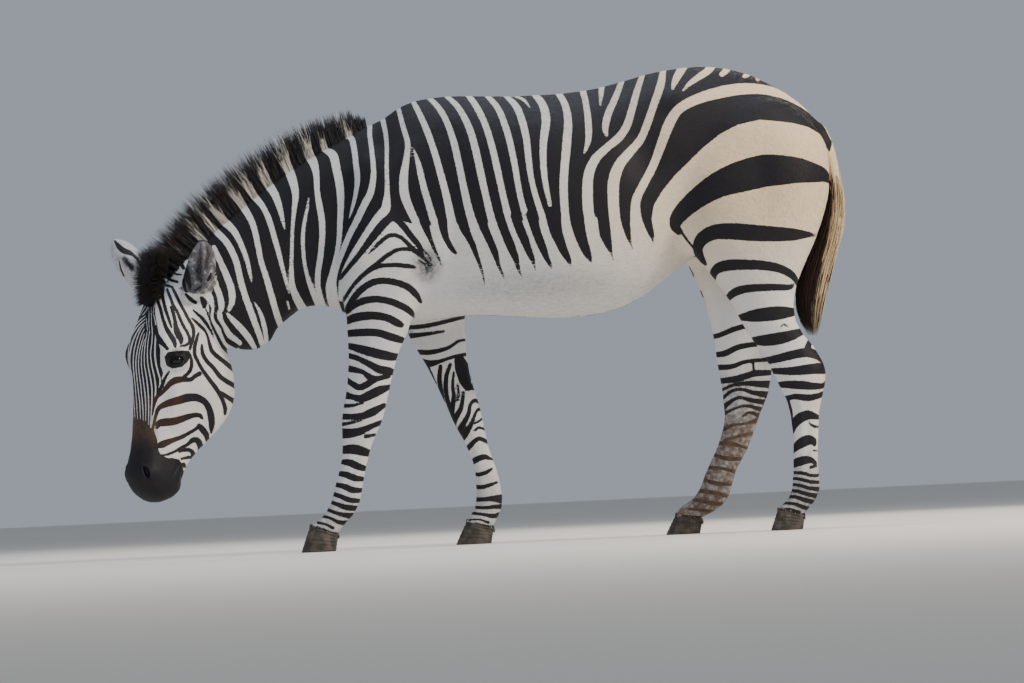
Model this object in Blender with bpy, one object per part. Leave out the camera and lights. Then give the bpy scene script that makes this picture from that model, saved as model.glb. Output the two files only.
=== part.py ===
"""A still, life-size Hartmann's mountain zebra that grazes with its head low and turned to its left.

The animal faces -X, its left side faces -Y and its hooves stand on z = 0. Flesh is lofted through
named stations, joined into one body, smoothed and swelled over its muscles, and then parted into
named nodes by thin flat cuts. Mane, forelock and tail switch are the solid outlines of their hair.
"""

import math
from collections import namedtuple

import bmesh
import bpy
from mathutils import Matrix, Vector

# Driving dimensions, in metres.
GAP = 0.0003
MERGE = 0.00005
VOXEL = 0.009
EYE_RADIUS = 0.0205
EAR_WALL = 0.0075
EAR_WIDTH = 0.088
CROWN_HALF_WIDTH = 0.036
SOLE_HALF_WIDTH = 0.045

# How fine the surfaces are: sides of a section, faces kept, and the share kept of each tuft of hair.
RING_SIDES = 40
HOOF_SIDES = 16
BODY_FACES = 4850
MANE_SHARE = 0.23
FORELOCK_SHARE = 0.06
TAIL_SHARE = 0.24

# Rounds of smoothing that melt the lofts into one skin, fewer on the head, whose forms are small.
TRUNK_ROUNDS = 14
HEAD_ROUNDS = 4
LAST_ROUNDS = 2

# Where the body is parted: two points of a line seen from the side, or a height.
HEAD_LINE = ((-0.672, 0.590), (-0.792, 0.870))
NECK_LINE = ((-0.345, 0.662), (-0.232, 1.230))
ELBOW_CUT = 0.628
STIFLE_CUT = 0.768
TAIL_CUT = 0.872

# The head hangs almost upright and turns towards the animal's left.
HEAD_TURN = math.radians(35.0)
HEAD_LEAN = math.radians(7.0)
BROW = Vector((-0.927, -0.138, 0.600))
FACE_OUT = Vector((-math.cos(HEAD_TURN), -math.sin(HEAD_TURN), 0.0))
FACE_LEFT = Vector((math.sin(HEAD_TURN), -math.cos(HEAD_TURN), 0.0))
FACE_DOWN = FACE_OUT * math.sin(HEAD_LEAN) - Vector((0.0, 0.0, math.cos(HEAD_LEAN)))
FACE_NORMAL = FACE_OUT * math.cos(HEAD_LEAN) + Vector((0.0, 0.0, math.sin(HEAD_LEAN)))

UP = Vector((0.0, 0.0, 1.0))
AHEAD = Vector((-1.0, 0.0, 0.0))
LEFT_TO_RIGHT = Vector((0.0, 1.0, 0.0))

Trunk = namedtuple("Trunk", "x top bottom half_width widest full_up full_down")
Neck = namedtuple("Neck", "step crest_x crest_z under_x under_z y half_width full_up full_down")
Head = namedtuple("Head", "down front back half_width widest full_front full_back")
Limb = namedtuple("Limb", "z front back y half_width full")
Tail = namedtuple("Tail", "step x z half_depth half_width full")

TRUNK = (
    Trunk(-0.372, 0.920, 0.722, 0.060, 0.820, 2.0, 2.0),
    Trunk(-0.340, 1.020, 0.672, 0.110, 0.835, 2.0, 2.1),
    Trunk(-0.280, 1.140, 0.642, 0.152, 0.855, 1.9, 2.2),
    Trunk(-0.200, 1.245, 0.638, 0.186, 0.880, 1.7, 2.2),
    Trunk(-0.120, 1.282, 0.640, 0.208, 0.900, 1.65, 2.2),
    Trunk(0.000, 1.289, 0.652, 0.230, 0.915, 1.8, 2.2),
    Trunk(0.140, 1.278, 0.642, 0.254, 0.920, 2.0, 2.2),
    Trunk(0.280, 1.278, 0.632, 0.264, 0.925, 2.05, 2.2),
    Trunk(0.400, 1.289, 0.642, 0.258, 0.940, 2.05, 2.2),
    Trunk(0.510, 1.315, 0.685, 0.238, 0.985, 2.05, 2.1),
    Trunk(0.600, 1.332, 0.750, 0.218, 1.040, 2.05, 2.0),
    Trunk(0.700, 1.338, 0.806, 0.206, 1.080, 2.05, 2.0),
    Trunk(0.800, 1.322, 0.815, 0.188, 1.100, 2.0, 2.0),
    Trunk(0.900, 1.275, 0.835, 0.152, 1.090, 2.0, 2.0),
    Trunk(0.980, 1.220, 0.900, 0.105, 1.090, 2.0, 2.0),
    Trunk(1.030, 1.165, 1.000, 0.050, 1.085, 2.0, 2.0),
)

NECK = (
    Neck(0, -0.060, 1.220, -0.220, 0.720, 0.000, 0.150, 1.7, 2.2),
    Neck(1, -0.190, 1.236, -0.335, 0.668, 0.000, 0.156, 1.6, 2.2),
    Neck(2, -0.300, 1.200, -0.395, 0.698, 0.000, 0.138, 1.6, 2.2),
    Neck(3, -0.400, 1.153, -0.450, 0.701, -0.003, 0.119, 1.65, 2.1),
    Neck(4, -0.500, 1.098, -0.505, 0.670, -0.010, 0.104, 1.7, 2.1),
    Neck(5, -0.600, 1.032, -0.567, 0.620, -0.020, 0.093, 1.7, 2.0),
    Neck(6, -0.690, 0.962, -0.628, 0.582, -0.034, 0.084, 1.75, 1.9),
    Neck(7, -0.768, 0.890, -0.682, 0.592, -0.048, 0.078, 1.85, 1.9),
    Neck(8, -0.832, 0.822, -0.735, 0.625, -0.060, 0.070, 2.0, 2.0),
    Neck(9, -0.860, 0.778, -0.775, 0.690, -0.066, 0.048, 2.0, 2.0),
)

HEAD = (
    Head(-0.185, -0.062, -0.108, 0.032, -0.085, 2.0, 2.0),
    Head(-0.165, -0.036, -0.138, 0.060, -0.082, 2.1, 2.0),
    Head(-0.130, -0.016, -0.180, 0.076, -0.076, 2.2, 2.0),
    Head(-0.085, -0.004, -0.222, 0.087, -0.068, 2.3, 1.9),
    Head(-0.040, 0.004, -0.268, 0.102, -0.055, 2.4, 1.8),
    Head(0.000, 0.006, -0.294, 0.115, -0.045, 2.5, 1.7),
    Head(0.040, 0.004, -0.310, 0.112, -0.050, 2.5, 1.7),
    Head(0.080, 0.001, -0.318, 0.098, -0.078, 2.5, 1.8),
    Head(0.120, 0.000, -0.318, 0.089, -0.100, 2.5, 1.9),
    Head(0.165, 0.000, -0.301, 0.079, -0.108, 2.5, 2.0),
    Head(0.210, 0.000, -0.268, 0.070, -0.102, 2.6, 2.1),
    Head(0.255, 0.001, -0.226, 0.063, -0.087, 2.6, 2.1),
    Head(0.295, 0.004, -0.188, 0.061, -0.072, 2.6, 2.2),
    Head(0.330, 0.009, -0.163, 0.065, -0.058, 2.6, 2.2),
    Head(0.360, 0.010, -0.154, 0.067, -0.051, 2.5, 2.2),
    Head(0.388, 0.001, -0.146, 0.064, -0.054, 2.4, 2.2),
    Head(0.410, -0.016, -0.130, 0.054, -0.062, 2.3, 2.2),
    Head(0.425, -0.036, -0.108, 0.038, -0.068, 2.1, 2.1),
    Head(0.434, -0.052, -0.090, 0.020, -0.071, 2.0, 2.0),
)

HIND_LEFT = (
    Limb(1.225, 0.720, 0.930, -0.100, 0.060, 2.0),
    Limb(1.150, 0.640, 1.015, -0.108, 0.104, 2.1),
    Limb(1.060, 0.596, 1.052, -0.114, 0.122, 2.2),
    Limb(0.970, 0.588, 1.050, -0.118, 0.126, 2.2),
    Limb(0.890, 0.602, 1.030, -0.120, 0.118, 2.2),
    Limb(0.800, 0.642, 0.994, -0.121, 0.103, 2.2),
    Limb(0.715, 0.704, 0.952, -0.120, 0.085, 2.2),
    Limb(0.650, 0.746, 0.931, -0.118, 0.070, 2.1),
    Limb(0.595, 0.776, 0.934, -0.116, 0.059, 2.1),
    Limb(0.540, 0.805, 0.962, -0.114, 0.049, 2.1),
    Limb(0.490, 0.838, 0.996, -0.113, 0.043, 2.2),
    Limb(0.445, 0.857, 1.012, -0.113, 0.042, 2.3),
    Limb(0.395, 0.881, 1.004, -0.113, 0.039, 2.3),
    Limb(0.345, 0.898, 0.990, -0.114, 0.030, 2.2),
    Limb(0.270, 0.905, 0.982, -0.115, 0.0235, 2.2),
    Limb(0.190, 0.902, 0.978, -0.117, 0.0235, 2.2),
    Limb(0.140, 0.899, 0.980, -0.118, 0.029, 2.2),
    Limb(0.105, 0.893, 0.976, -0.119, 0.030, 2.2),
    Limb(0.075, 0.877, 0.962, -0.120, 0.028, 2.2),
    Limb(0.050, 0.857, 0.935, -0.120, 0.032, 2.2),
    Limb(0.020, 0.848, 0.922, -0.120, 0.034, 2.2),
)

HIND_RIGHT = (
    Limb(1.225, 0.700, 0.920, 0.100, 0.060, 2.0),
    Limb(1.150, 0.620, 0.995, 0.108, 0.104, 2.1),
    Limb(1.060, 0.580, 1.034, 0.114, 0.122, 2.2),
    Limb(0.970, 0.572, 1.034, 0.118, 0.126, 2.2),
    Limb(0.890, 0.585, 1.010, 0.120, 0.118, 2.2),
    Limb(0.800, 0.624, 0.968, 0.120, 0.103, 2.2),
    Limb(0.715, 0.660, 0.925, 0.118, 0.085, 2.2),
    Limb(0.650, 0.683, 0.896, 0.116, 0.070, 2.1),
    Limb(0.590, 0.697, 0.876, 0.114, 0.059, 2.1),
    Limb(0.535, 0.705, 0.868, 0.112, 0.049, 2.1),
    Limb(0.485, 0.710, 0.869, 0.111, 0.043, 2.2),
    Limb(0.440, 0.714, 0.866, 0.111, 0.042, 2.3),
    Limb(0.395, 0.721, 0.856, 0.111, 0.039, 2.3),
    Limb(0.345, 0.723, 0.834, 0.112, 0.031, 2.2),
    Limb(0.290, 0.714, 0.812, 0.113, 0.025, 2.2),
    Limb(0.235, 0.691, 0.790, 0.115, 0.0245, 2.2),
    Limb(0.175, 0.661, 0.753, 0.117, 0.025, 2.2),
    Limb(0.130, 0.642, 0.738, 0.118, 0.029, 2.2),
    Limb(0.095, 0.619, 0.724, 0.119, 0.030, 2.2),
    Limb(0.065, 0.593, 0.693, 0.120, 0.028, 2.2),
    Limb(0.040, 0.572, 0.655, 0.120, 0.032, 2.2),
    Limb(0.015, 0.562, 0.640, 0.120, 0.034, 2.2),
)

FORE_LEFT = (
    Limb(1.020, -0.300, -0.120, -0.105, 0.050, 2.0),
    Limb(0.920, -0.338, -0.080, -0.118, 0.082, 2.1),
    Limb(0.820, -0.358, -0.082, -0.128, 0.088, 2.1),
    Limb(0.740, -0.354, -0.112, -0.130, 0.078, 2.1),
    Limb(0.670, -0.347, -0.142, -0.128, 0.066, 2.1),
    Limb(0.610, -0.342, -0.168, -0.125, 0.055, 2.1),
    Limb(0.550, -0.343, -0.198, -0.122, 0.046, 2.1),
    Limb(0.480, -0.349, -0.219, -0.120, 0.040, 2.1),
    Limb(0.420, -0.359, -0.236, -0.118, 0.041, 2.3),
    Limb(0.370, -0.368, -0.249, -0.117, 0.041, 2.3),
    Limb(0.325, -0.371, -0.272, -0.117, 0.035, 2.2),
    Limb(0.275, -0.373, -0.292, -0.116, 0.026, 2.2),
    Limb(0.205, -0.392, -0.310, -0.116, 0.0235, 2.2),
    Limb(0.160, -0.405, -0.319, -0.116, 0.028, 2.2),
    Limb(0.125, -0.418, -0.330, -0.116, 0.031, 2.2),
    Limb(0.095, -0.442, -0.349, -0.116, 0.029, 2.2),
    Limb(0.070, -0.468, -0.378, -0.116, 0.032, 2.2),
    Limb(0.030, -0.474, -0.400, -0.116, 0.035, 2.2),
)

FORE_RIGHT = (
    Limb(1.020, -0.240, -0.060, 0.105, 0.050, 2.0),
    Limb(0.920, -0.285, -0.020, 0.118, 0.082, 2.1),
    Limb(0.820, -0.270, 0.000, 0.128, 0.088, 2.1),
    Limb(0.740, -0.232, 0.000, 0.130, 0.078, 2.1),
    Limb(0.670, -0.196, -0.006, 0.128, 0.066, 2.1),
    Limb(0.600, -0.170, -0.008, 0.125, 0.055, 2.1),
    Limb(0.540, -0.138, -0.007, 0.122, 0.046, 2.1),
    Limb(0.470, -0.104, 0.005, 0.120, 0.040, 2.1),
    Limb(0.415, -0.080, 0.019, 0.118, 0.041, 2.3),
    Limb(0.365, -0.060, 0.030, 0.117, 0.041, 2.3),
    Limb(0.315, -0.036, 0.037, 0.117, 0.035, 2.2),
    Limb(0.265, -0.017, 0.048, 0.116, 0.026, 2.2),
    Limb(0.215, -0.002, 0.064, 0.116, 0.0235, 2.2),
    Limb(0.165, 0.000, 0.074, 0.116, 0.027, 2.2),
    Limb(0.130, -0.001, 0.078, 0.116, 0.031, 2.2),
    Limb(0.098, -0.009, 0.075, 0.116, 0.029, 2.2),
    Limb(0.070, -0.024, 0.058, 0.116, 0.032, 2.2),
    Limb(0.030, -0.034, 0.040, 0.116, 0.035, 2.2),
)

TAIL = (
    Tail(0, 0.985, 1.165, 0.020, 0.024, 2.0),
    Tail(1, 1.028, 1.140, 0.024, 0.027, 2.0),
    Tail(2, 1.052, 1.080, 0.023, 0.026, 2.0),
    Tail(3, 1.065, 1.010, 0.022, 0.024, 2.0),
    Tail(4, 1.068, 0.940, 0.024, 0.024, 2.0),
    Tail(5, 1.060, 0.870, 0.029, 0.027, 2.0),
    Tail(6, 1.028, 0.790, 0.038, 0.032, 2.0),
    Tail(7, 0.993, 0.710, 0.045, 0.036, 2.0),
    Tail(8, 0.977, 0.640, 0.041, 0.032, 2.0),
    Tail(9, 0.977, 0.580, 0.029, 0.022, 2.0),
    Tail(10, 0.986, 0.538, 0.012, 0.011, 2.0),
)

# Standing hair: its lean from upright, its height over the crest and half its width at the root.
Crest = namedtuple("Crest", "step x z lean height half_width y")
MANE = (
    Crest(0, -0.262, 1.205, 0.10, 0.030, 0.016, 0.000),
    Crest(1, -0.300, 1.194, 0.12, 0.070, 0.024, 0.000),
    Crest(2, -0.400, 1.148, 0.20, 0.098, 0.028, -0.003),
    Crest(3, -0.500, 1.092, 0.34, 0.112, 0.030, -0.010),
    Crest(4, -0.600, 1.026, 0.48, 0.117, 0.031, -0.020),
    Crest(5, -0.690, 0.956, 0.60, 0.120, 0.032, -0.032),
    Crest(6, -0.768, 0.884, 0.74, 0.120, 0.034, -0.048),
    Crest(7, -0.822, 0.826, 0.90, 0.112, 0.036, -0.060),
    Crest(8, -0.846, 0.794, 1.05, 0.100, 0.030, -0.066),
)

# An ear: its root in the head's directions, its tip, where its cup opens and how far it spreads.
Ear = namedtuple("Ear", "name root tip opening flare")
EARS = (
    Ear(
        "ear_left",
        (-0.146, -0.122, 0.084),
        Vector((-0.741, -0.172, 0.899)),
        Vector((-0.75, 0.62, 0.10)),
        1.0,
    ),
    Ear(
        "ear_right",
        (-0.142, -0.080, -0.050),
        Vector((-1.003, 0.035, 0.918)),
        Vector((-0.10, 0.95, -0.20)),
        0.86,
    ),
)

# A hoof: toe and heel at the coronet, toe and heel at the sole, middle of its width.
Hoof = namedtuple("Hoof", "name crown_toe crown_toe_z crown_heel crown_heel_z toe heel y")
HOOVES = (
    Hoof("hoof_fore_left", -0.476, 0.074, -0.388, 0.046, -0.500, -0.400, -0.116),
    Hoof("hoof_fore_right", -0.034, 0.066, 0.052, 0.042, -0.064, 0.040, 0.116),
    Hoof("hoof_hind_left", 0.850, 0.058, 0.934, 0.038, 0.832, 0.924, -0.120),
    Hoof("hoof_hind_right", 0.567, 0.056, 0.652, 0.036, 0.540, 0.640, 0.120),
)

# A leg as it is parted: the middle of its cutting block, its side, its top and the block's length.
LegCut = namedtuple("LegCut", "name x side top length")
LEG_CUTS = (
    LegCut("leg_fore_left", -0.30, -1, ELBOW_CUT, 0.62),
    LegCut("leg_fore_right", -0.12, 1, ELBOW_CUT, 0.62),
    LegCut("leg_hind_left", 0.93, -1, STIFLE_CUT, 0.60),
    LegCut("leg_hind_right", 0.91, 1, STIFLE_CUT, 0.60),
)
LEG_BLOCK_WIDTH = 0.50
# Masses that join the legs to the trunk, and the fold under the throat: centre and reach.
HAUNCH = ((0.900, 0.085, 1.020), (0.130, 0.110, 0.180))
SHOULDER = ((-0.235, 0.085, 0.900), (0.120, 0.100, 0.240))
DEWLAP_CENTRE = Vector((-0.620, -0.026, 0.650))
DEWLAP_REACH = (0.076, 0.046, 0.068)

# The balls of hair that make the forelock, in the head's directions, and their reaches.
FORELOCK = (
    ((-0.205, -0.002, 0.0), (0.050, 0.042, 0.072)),
    ((-0.235, -0.028, 0.0), (0.044, 0.040, 0.072)),
    ((-0.172, 0.008, 0.0), (0.030, 0.030, 0.045)),
)

# A swelling or hollow: centre, reach along x, y and z, and height. Those with a side are mirrored.
Swell = namedtuple("Swell", "what centre reach height")
PAIRED_SWELLS = (
    Swell("shoulder blade", (-0.185, -0.170, 1.080), (0.090, 0.120, 0.170), 0.008),
    Swell("triceps", (-0.140, -0.190, 0.830), (0.110, 0.120, 0.110), 0.011),
    Swell("groove ahead of the shoulder", (-0.335, -0.120, 0.960), (0.050, 0.090, 0.170), -0.006),
    Swell("point of the shoulder", (-0.320, -0.160, 0.820), (0.065, 0.090, 0.080), 0.010),
    Swell("hollow behind the elbow", (-0.050, -0.200, 0.740), (0.060, 0.100, 0.100), -0.009),
    Swell("hollow of the flank", (0.520, -0.220, 1.080), (0.085, 0.100, 0.120), -0.014),
    Swell("point of the hip", (0.615, -0.170, 1.240), (0.060, 0.080, 0.060), 0.012),
    Swell("front of the thigh", (0.700, -0.230, 0.990), (0.120, 0.100, 0.150), 0.008),
    Swell("back of the thigh", (0.940, -0.200, 1.020), (0.100, 0.120, 0.150), 0.007),
    Swell("groove of the thigh", (0.845, -0.250, 1.000), (0.045, 0.080, 0.190), -0.006),
)

# The same on the head: down the face, out from the face, to the left, reach and height.
FACE_SWELLS = (
    Swell("cheek", (0.100, -0.185, 0.070), 0.072, 0.013),
    Swell("brow over the eye", (0.004, -0.022, 0.104), 0.040, 0.009),
    Swell("brow behind the eye", (0.000, -0.062, 0.108), 0.038, 0.008),
    Swell("brow ahead of the eye", (0.030, -0.022, 0.100), 0.034, 0.005),
    Swell("hollow above the eye", (-0.060, -0.070, 0.090), 0.032, -0.006),
    Swell("socket in front of the eye", (0.060, -0.040, 0.088), 0.036, -0.006),
    Swell("ridge of the cheek", (0.125, -0.075, 0.076), 0.036, 0.005),
    Swell("hollow of the jaw", (0.240, -0.105, 0.052), 0.050, -0.005),
    Swell("nostril", (0.352, -0.022, 0.052), 0.034, 0.008),
    Swell("chin", (0.385, -0.115, 0.020), 0.040, 0.007),
    Swell("bars of the lower jaw", (0.190, -0.225, 0.040), 0.050, 0.006),
)

# The eye, in the head's directions: down the face, out from it and to either side.
EYE_PLACE = (0.034, -0.060, 0.0995)


def clear_objects():
    """Empties the file of objects."""
    for obj in list(bpy.data.objects):
        bpy.data.objects.remove(obj, do_unlink=True)


def make_material(name, colour, roughness):
    """A plain dielectric finish."""
    material = bpy.data.materials.new(name)
    material.use_nodes = True
    shader = material.node_tree.nodes["Principled BSDF"]
    shader.inputs["Base Color"].default_value = (*colour, 1.0)
    shader.inputs["Roughness"].default_value = roughness
    shader.inputs["Metallic"].default_value = 0.0
    return material


def face_point(down, out, left):
    """A point given in the head's own directions, from the brow."""
    return BROW + FACE_DOWN * down + FACE_NORMAL * out + FACE_LEFT * left


def smooth_rows(rows, steps):
    """Rows read at even steps between stations, on monotone cubic curves through each column."""
    keys = [row[0] for row in rows]
    columns = list(zip(*rows))
    spans = [keys[i + 1] - keys[i] for i in range(len(keys) - 1)]
    slopes = []
    for column in columns:
        rises = [(column[i + 1] - column[i]) / spans[i] for i in range(len(spans))]
        slope = [rises[0]]
        for before, after in zip(rises, rises[1:]):
            same_way = before * after > 0.0
            slope.append(2.0 * before * after / (before + after) if same_way else 0.0)
        slope.append(rises[-1])
        slopes.append(slope)
    made = type(rows[0])
    result = []
    for i, span in enumerate(spans):
        for step in range(steps):
            t = step / steps
            start = 2 * t**3 - 3 * t**2 + 1
            leave = (t**3 - 2 * t**2 + t) * span
            end = 3 * t**2 - 2 * t**3
            arrive = (t**3 - t**2) * span
            values = []
            for column, slope in zip(columns, slopes):
                begins = start * column[i] + leave * slope[i]
                ends = end * column[i + 1] + arrive * slope[i + 1]
                values.append(begins + ends)
            result.append(made(*values))
    result.append(rows[-1])
    return result


def power(value, exponent):
    """A signed power, which rounds or squares a circle."""
    return math.copysign(abs(value) ** exponent, value)


def add_ring(bm, centre, up, side, reaches, half_width, fulls):
    """One closed section: superellipses of two reaches and fullnesses, joined at the widest line."""
    circle = bmesh.ops.create_circle(bm, cap_ends=False, segments=RING_SIDES, radius=1.0)
    for vert in circle["verts"]:
        half = 0 if vert.co.y >= 0.0 else 1
        across = power(vert.co.x, 2.0 / fulls[half]) * half_width
        along = power(vert.co.y, 2.0 / fulls[half]) * reaches[half]
        vert.co = centre + side * across + up * along
    return list({edge for vert in circle["verts"] for edge in vert.link_edges})


def add_loft(bm, rings):
    """A closed tube through rings of edges, capped at both ends."""
    for before, after in zip(rings, rings[1:]):
        bmesh.ops.bridge_loops(bm, edges=before + after)
    bmesh.ops.edgeloop_fill(bm, edges=rings[0])
    bmesh.ops.edgeloop_fill(bm, edges=rings[-1])


def add_trunk(bm):
    """Chest, barrel and croup, in upright sections."""
    rings = []
    for row in smooth_rows(TRUNK, 2):
        reaches = (row.top - row.widest, row.widest - row.bottom)
        centre = Vector((row.x, 0.0, row.widest))
        fulls = (row.full_up, row.full_down)
        rings.append(add_ring(bm, centre, UP, LEFT_TO_RIGHT, reaches, row.half_width, fulls))
    add_loft(bm, rings)


def add_neck(bm):
    """The neck, in sections from its under line to its crest."""
    rings = []
    for row in smooth_rows(NECK, 2):
        crest = Vector((row.crest_x, row.y, row.crest_z))
        under = Vector((row.under_x, row.y, row.under_z))
        centre = under.lerp(crest, 0.42)
        up = (crest - under).normalized()
        reaches = ((crest - centre).length, (centre - under).length)
        fulls = (row.full_up, row.full_down)
        rings.append(add_ring(bm, centre, up, LEFT_TO_RIGHT, reaches, row.half_width, fulls))
    add_loft(bm, rings)


def add_head(bm):
    """Skull, cheeks and muzzle, in sections square to the face."""
    rings = []
    for row in smooth_rows(HEAD, 2):
        centre = face_point(row.down, row.widest, 0.0)
        reaches = (row.front - row.widest, row.widest - row.back)
        fulls = (row.full_front, row.full_back)
        rings.append(add_ring(bm, centre, FACE_NORMAL, FACE_LEFT, reaches, row.half_width, fulls))
    add_loft(bm, rings)


def add_limb(bm, rows):
    """A leg, in level sections."""
    rings = []
    for row in smooth_rows(rows, 2):
        reach = (row.back - row.front) / 2
        centre = Vector(((row.back + row.front) / 2, row.y, row.z))
        fulls = (row.full, row.full)
        rings.append(add_ring(bm, centre, AHEAD, LEFT_TO_RIGHT, (reach, reach), row.half_width, fulls))
    add_loft(bm, rings)


def add_ball(bm, centre, reach):
    """An ellipsoid that joins or fills a place of the body."""
    scale = Matrix.Diagonal((*reach, 1.0))
    matrix = Matrix.Translation(centre) @ scale
    bmesh.ops.create_icosphere(bm, subdivisions=3, radius=1.0, matrix=matrix)


def link(name, mesh):
    """An object of a mesh, in the scene."""
    obj = bpy.data.objects.new(name, mesh)
    bpy.context.scene.collection.objects.link(obj)
    return obj


def as_object(name, bm):
    """An object made from a bmesh, with its faces pointing out."""
    bmesh.ops.recalc_face_normals(bm, faces=bm.faces[:])
    mesh = bpy.data.meshes.new(name)
    bm.to_mesh(mesh)
    bm.free()
    return link(name, mesh)


def apply_modifiers(obj):
    """Replaces an object's mesh by what its modifiers make of it."""
    graph = bpy.context.evaluated_depsgraph_get()
    mesh = bpy.data.meshes.new_from_object(obj.evaluated_get(graph), depsgraph=graph)
    obj.modifiers.clear()
    old = obj.data
    obj.data = mesh
    bpy.data.meshes.remove(old)


def combine(obj, other, operation):
    """Cuts, joins or intersects an object with another one, exactly."""
    modifier = obj.modifiers.new("combine", "BOOLEAN")
    modifier.operation = operation
    modifier.solver = "EXACT"
    modifier.object = other
    apply_modifiers(obj)


def clean(obj):
    """Merges what a cut left at one place and drops faces without area."""
    bm = bmesh.new()
    bm.from_mesh(obj.data)
    bmesh.ops.remove_doubles(bm, verts=bm.verts[:], dist=MERGE)
    bmesh.ops.dissolve_degenerate(bm, dist=MERGE, edges=bm.edges[:])
    bmesh.ops.triangulate(bm, faces=bm.faces[:])
    bm.to_mesh(obj.data)
    bm.free()


def keep_largest(obj):
    """Drops the crumbs that a cut left beside the main body."""
    bm = bmesh.new()
    bm.from_mesh(obj.data)
    unseen = set(bm.verts)
    bodies = []
    while unseen:
        body = set()
        front = [unseen.pop()]
        while front:
            vert = front.pop()
            body.add(vert)
            for edge in vert.link_edges:
                other = edge.other_vert(vert)
                if other in unseen:
                    unseen.remove(other)
                    front.append(other)
        bodies.append(body)
    bodies.sort(key=len)
    crumbs = [vert for body in bodies[:-1] for vert in body]
    bmesh.ops.delete(bm, geom=crumbs, context="VERTS")
    bm.to_mesh(obj.data)
    bm.free()


def relax(bm, wanted, rounds):
    """Smooths the points that a test picks."""
    verts = [vert for vert in bm.verts if wanted(vert.co)]
    for _ in range(rounds):
        bmesh.ops.smooth_vert(
            bm, verts=verts, factor=0.5, use_axis_x=True, use_axis_y=True, use_axis_z=True
        )


def swell_at(bm, centre, reach, height):
    """Moves skin out or in along its normals, most at the centre of an ellipsoid."""
    for vert in bm.verts:
        away = vert.co - centre
        share = 1.0 - sum((away[i] / reach[i]) ** 2 for i in range(3))
        if share > 0.0:
            vert.co += vert.normal * (height * share * share)


def shape_muscles(bm):
    """Swells and hollows of trunk, thighs and face, alike on both sides."""
    bm.normal_update()
    for swell in PAIRED_SWELLS:
        for side in (1.0, -1.0):
            centre = Vector((swell.centre[0], swell.centre[1] * side, swell.centre[2]))
            swell_at(bm, centre, swell.reach, swell.height)
    for swell in FACE_SWELLS:
        down, out, left = swell.centre
        for side in (1.0, -1.0):
            swell_at(bm, face_point(down, out, left * side), (swell.reach,) * 3, swell.height)


def is_head(point):
    """True for points ahead of the line where the head joins the neck."""
    low, high = HEAD_LINE
    lean = (high[0] - low[0]) / (high[1] - low[1])
    return point.x < low[0] + (point.z - low[1]) * lean


def is_throat(point):
    """True for points of the fold under the throat."""
    return (point - DEWLAP_CENTRE).length < 0.13


def make_body():
    """The flesh as one closed skin, without ears, mane and tail."""
    bm = bmesh.new()
    add_trunk(bm)
    add_neck(bm)
    add_head(bm)
    for rows in (HIND_LEFT, HIND_RIGHT, FORE_LEFT, FORE_RIGHT):
        add_limb(bm, rows)
    for centre, reach in (HAUNCH, SHOULDER):
        for side in (-1.0, 1.0):
            add_ball(bm, Vector((centre[0], centre[1] * side, centre[2])), reach)
    add_ball(bm, DEWLAP_CENTRE, DEWLAP_REACH)
    body = as_object("body", bm)
    remesh = body.modifiers.new("one skin", "REMESH")
    remesh.mode = "VOXEL"
    remesh.voxel_size = VOXEL
    apply_modifiers(body)
    bm = bmesh.new()
    bm.from_mesh(body.data)
    relax(bm, lambda co: co.z > ELBOW_CUT and not is_head(co), TRUNK_ROUNDS)
    relax(bm, is_head, HEAD_ROUNDS)
    relax(bm, lambda co: True, LAST_ROUNDS)
    shape_muscles(bm)
    relax(bm, lambda co: True, 1)
    bm.to_mesh(body.data)
    bm.free()
    return body


def thin_out(body):
    """Brings the skin down to its share of faces, with more of them on head and throat."""
    group = body.vertex_groups.new(name="coarse")
    for vert in body.data.vertices:
        fine = is_head(vert.co) or is_throat(vert.co)
        group.add([vert.index], 0.5 if fine else 1.0, "REPLACE")
    triangles = sum(len(polygon.vertices) - 2 for polygon in body.data.polygons)
    modifier = body.modifiers.new("thin out", "DECIMATE")
    modifier.ratio = BODY_FACES / triangles
    modifier.vertex_group = group.name
    modifier.vertex_group_factor = 0.012
    apply_modifiers(body)
    clean(body)


def make_block(name, centre, size, turn=0.0):
    """A cutting block, turned about Y."""
    bm = bmesh.new()
    turned = Matrix.Translation(centre) @ Matrix.Rotation(turn, 4, "Y")
    matrix = turned @ Matrix.Diagonal((*size, 1.0))
    bmesh.ops.create_cube(bm, size=1.0, matrix=matrix)
    block = as_object(name, bm)
    block.hide_render = True
    block.display_type = "WIRE"
    return block


def part_off(body, name, centre, size, turn=0.0):
    """Takes the piece inside a block off the body, with a thin gap between the two."""
    block = make_block("block", centre, size, turn)
    piece = link(name, body.data.copy())
    combine(piece, block, "INTERSECT")
    bpy.data.objects.remove(block)
    wider = make_block("block", centre, [side + 2 * GAP for side in size], turn)
    combine(body, wider, "DIFFERENCE")
    bpy.data.objects.remove(wider)
    clean(piece)
    keep_largest(piece)
    return piece


def part_at_line(body, name, low, high, bottom, top):
    """Takes off what lies ahead of the upright plane through two points seen from the side."""
    lean = math.atan2(high[0] - low[0], high[1] - low[1])
    across = Vector((math.cos(lean), 0.0, -math.sin(lean)))
    along = Vector((math.sin(lean), 0.0, math.cos(lean)))
    start = Vector((low[0], 0.0, low[1]))
    centre = start + along * (bottom + top) / 2 - across * 0.5
    return part_off(body, name, centre, (1.0, 1.0, top - bottom), lean)


def puffed(name, bodies, amount):
    """A copy of bodies, a little larger all round, to cut their neighbours with."""
    bm = bmesh.new()
    for body in bodies:
        bm.from_mesh(body.data)
    bm.normal_update()
    for vert in bm.verts:
        vert.co += vert.normal * amount
    cutter = as_object(name, bm)
    cutter.hide_render = True
    cutter.display_type = "WIRE"
    return cutter


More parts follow.
